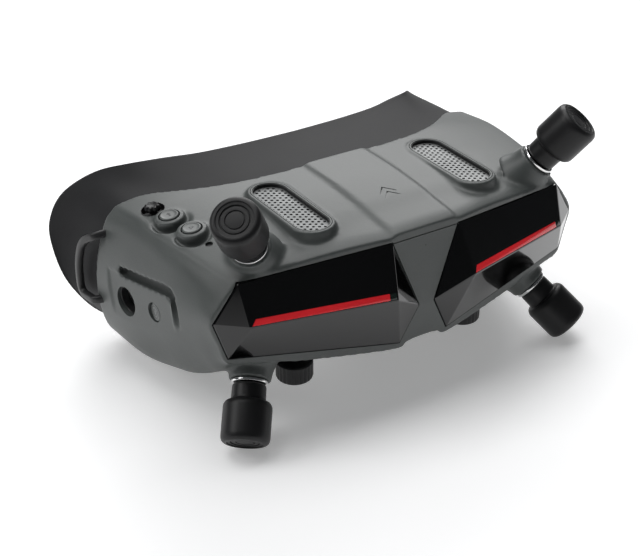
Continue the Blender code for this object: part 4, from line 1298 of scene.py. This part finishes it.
def make_jack():
    outward = aim(INLET_AXIS)
    shell = [(0.0, -9.6), (3.7, -9.6), (3.7, -3.2), (3.9, -2.9), (4.3, -2.9), (4.3, -4.6), (4.9, -4.6)]
    shell += [(4.9, -0.1), (5.05, 0.1), (5.3, 0.1), (5.45, -0.1), (5.45, -11.0), (0.0, -11.0)]
    data = settle(turned("socket", shell, 64, 0.15), INLET, outward)
    piece("inlet_shell", data, BLACK, nodes=["dc_jack"])
    pin = [(0.0, -2.8), (0.7, -2.85), (1.1, -3.4), (1.1, -9.5), (0.0, -9.5)]
    piece("inlet_pin", settle(turned("pin", pin, 32, 0.2), INLET, outward), BRIGHT)
    sleeve = [(4.28, -2.7), (4.28, -5.0), (3.95, -5.0), (3.95, -2.7)]
    data = settle(turned("lining", sleeve, 64, 0.04), INLET, outward)
    piece("inlet_spring_sleeve", data, STEEL)


# ---- optics and the rest

def carry_over(look, *names):
    """CAD nodes that keep their shape take a finish and finely rounded edges."""
    for name in names:
        thing = frame["nodes"][name]
        thing.data.materials.clear()
        thing.data.materials.append(look)
        rounding = thing.modifiers.new("Round", "BEVEL")
        rounding.width = 0.2 * MM
        rounding.segments = 2
        rounding.limit_method = "ANGLE"
        rounding.angle_limit = math.radians(40)


def make_optics():
    stand = aim((0, 1, 0))
    for side_name, side in SIDES.items():
        centre = (side * 32.0, 32.0, -5.0)
        tube = [(15.2, 16.6), (16.4, 16.6), (16.9, 16.1), (16.9, 13.4), (16.5, 13.1), (16.0, 12.7)]
        tube += [(16.0, -17.0), (14.2, -17.0), (14.2, 13.6), (14.7, 14.6), (14.9, 16.2)]
        data = settle(turned("barrel", tube, 96, 0.25), centre, stand)
        piece(f"eyepiece_barrel_{side_name}", data, BLACK, f"eyepiece_{side_name}",
              [f"lens_barrel_{side_name}"])
        lens = [(0.0, 16.0)]
        for step in range(1, 13):
            r = 13.2 * step / 12
            lens.append((r, 16.0 - 2.6 * (r / 13.2) ** 2))
        lens += [(13.2, 11.4), (0.0, 9.0)]
        data = settle(turned("lens", lens, 96, 0.0), centre, stand)
        piece(f"coated_lens_{side_name}", data, LENS, f"eyepiece_{side_name}",
              [f"eyepiece_lens_{side_name}"], angle=50.0)
        rings = []
        for height, radius, bite in ((0.0, 6.3, 0.0), (-0.4, 6.75, 0.0), (-1.2, 6.8, 0.32),
                                     (-6.2, 6.8, 0.32), (-6.9, 6.5, 0.1), (-7.35, 5.9, 0.0),
                                     (-7.4, 4.4, 0.0), (-7.1, 4.1, 0.0), (-7.1, 0.4, 0.0)):
            ring = []
            for step in range(144):
                angle = 2 * math.pi * step / 144
                r = radius - bite * (0.5 + 0.5 * math.cos(24 * angle)) ** 2
                ring.append((r * math.cos(angle), r * math.sin(angle), height))
            rings.append(ring)
        head = skin("knob", rings, local=True)
        stem = turned("stem", [(0.0, 10.8), (1.9, 10.8), (1.9, -0.3), (0.0, -0.3)], 24, 0.1)
        data = settle(combined(head, [stem], "UNION"), sided(KNOB, side))
        piece(f"focus_dial_{side_name}", data, BLACK, f"knob_{side_name}",
              [f"focus_knob_{side_name}"])


def make_screws():
    turn = aim((0, 1, 0))
    for number in range(1, 5):
        low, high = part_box(f"cover_screw_{number}")
        centre = (Vector(low) + Vector(high)) / 2 / MM - SHIFT
        top = high[1] / MM - SHIFT.y - centre.y
        profile = [(0.0, top - 0.2), (2.0, top - 0.25), (2.6, top - 0.9), (2.6, top - 1.7)]
        profile += [(1.25, top - 1.7), (1.25, top - 8.8), (0.0, top - 8.8)]
        screw = turned("screw", profile, 40, 0.2)
        cross = [(-1.4, -0.3), (-0.3, -0.3), (-0.3, -1.4), (0.3, -1.4), (0.3, -0.3), (1.4, -0.3)]
        cross = cross + [(-x, -y) for x, y in cross]
        recess = plate("recess", cross, top - 1.0, top + 0.5)
        data = settle(combined(screw, [recess]), centre, turn)
        piece(f"cross_screw_{number}", data, STEEL, nodes=[f"cover_screw_{number}"])


def carry_frame_nodes():
    carry_over(BLACK, "rear_cover", "fan_frame_left", "fan_frame_right", "joystick_base")
    carry_over(BLACK, "joystick_yoke", "joystick_stem", "button_switch_return", "button_switch_record")
    carry_over(BLACK, "lens_carriage_left", "lens_carriage_right")
    carry_over(STEEL, "guide_rail_upper", "guide_rail_lower_left", "guide_rail_lower_right")
    carry_over(SCREEN, "display_left", "display_right")
    carry_over(BOARD, "main_board")
    carry_over(COOLER, "heat_sink")


# ---- studio

def area(name, at, target, size, power, colour=(1.0, 1.0, 1.0)):
    lamp = bpy.data.lights.new(name, "AREA")
    lamp.shape = "RECTANGLE"
    lamp.size, lamp.size_y = size
    lamp.energy = power
    lamp.color = colour
    thing = bpy.data.objects.new(name, lamp)
    thing.location = at
    thing.rotation_euler = (Vector(target) - Vector(at)).to_track_quat("-Z", "Y").to_euler()
    bpy.context.scene.collection.objects.link(thing)


def make_studio():
    scene = bpy.context.scene
    floor = bpy.data.objects.new("floor", mesh("floor", [(-4000, -4000, 0), (4000, -4000, 0),
                                                         (4000, 4000, 0), (-4000, 4000, 0)],
                                               [(0, 1, 2, 3)], local=True))
    floor.data.transform(Matrix.Scale(MM, 4))
    scene.collection.objects.link(floor)
    look, _, _, shader = nodes_of("studio_floor")
    shader.inputs["Base Color"].default_value = (0.93, 0.93, 0.935, 1.0)
    shader.inputs["Roughness"].default_value = 0.9
    shader.inputs["Specular IOR Level"].default_value = 0.1
    shader.inputs["Emission Color"].default_value = (1.0, 1.0, 1.0, 1.0)
    shader.inputs["Emission Strength"].default_value = 0.28
    floor.data.materials.append(look)

    sky = bpy.data.worlds.new("studio")
    scene.world = sky
    sky.use_nodes = True
    sky.node_tree.nodes["Background"].inputs["Color"].default_value = (0.9, 0.95, 1.0, 1.0)
    sky.node_tree.nodes["Background"].inputs["Strength"].default_value = 0.06
    scene.view_settings.view_transform = "Standard"

    area("overhead", (0.0, 0.25, 1.2), (0.0, 0.0, 0.05), (1.4, 0.8), 11.0)
    area("rear_sheen", (0.75, 1.05, 0.85), (0.0, 0.0, 0.05), (1.2, 0.7), 12.0)
    area("left_window", (-1.0, 0.45, 0.85), (0.0, 0.0, 0.04), (0.6, 0.6), 4.2)

    camera = bpy.data.cameras.new("camera")
    camera.sensor_width = 36.0
    camera.lens = 81.84
    camera.clip_start = 0.01
    thing = bpy.data.objects.new("camera", camera)
    right = Vector((0.84191, -0.53961, 0.0)).normalized()
    forward = Vector((0.46757, 0.72886, -0.50014)).normalized()
    up = right.cross(forward).normalized()
    basis = Matrix((forward.cross(up).normalized(), up, -forward)).transposed().to_4x4()
    thing.matrix_world = Matrix.Translation(world((-263.98, -357.42, 250.28))) @ basis
    scene.collection.objects.link(thing)
    scene.camera = thing


make_studio()
make_casing()
make_covers()
make_vents()
make_fans()
make_antennas()
make_shield()
make_foam()
make_hooks()
make_controls()
make_jack()
make_optics()
make_screws()
carry_frame_nodes()
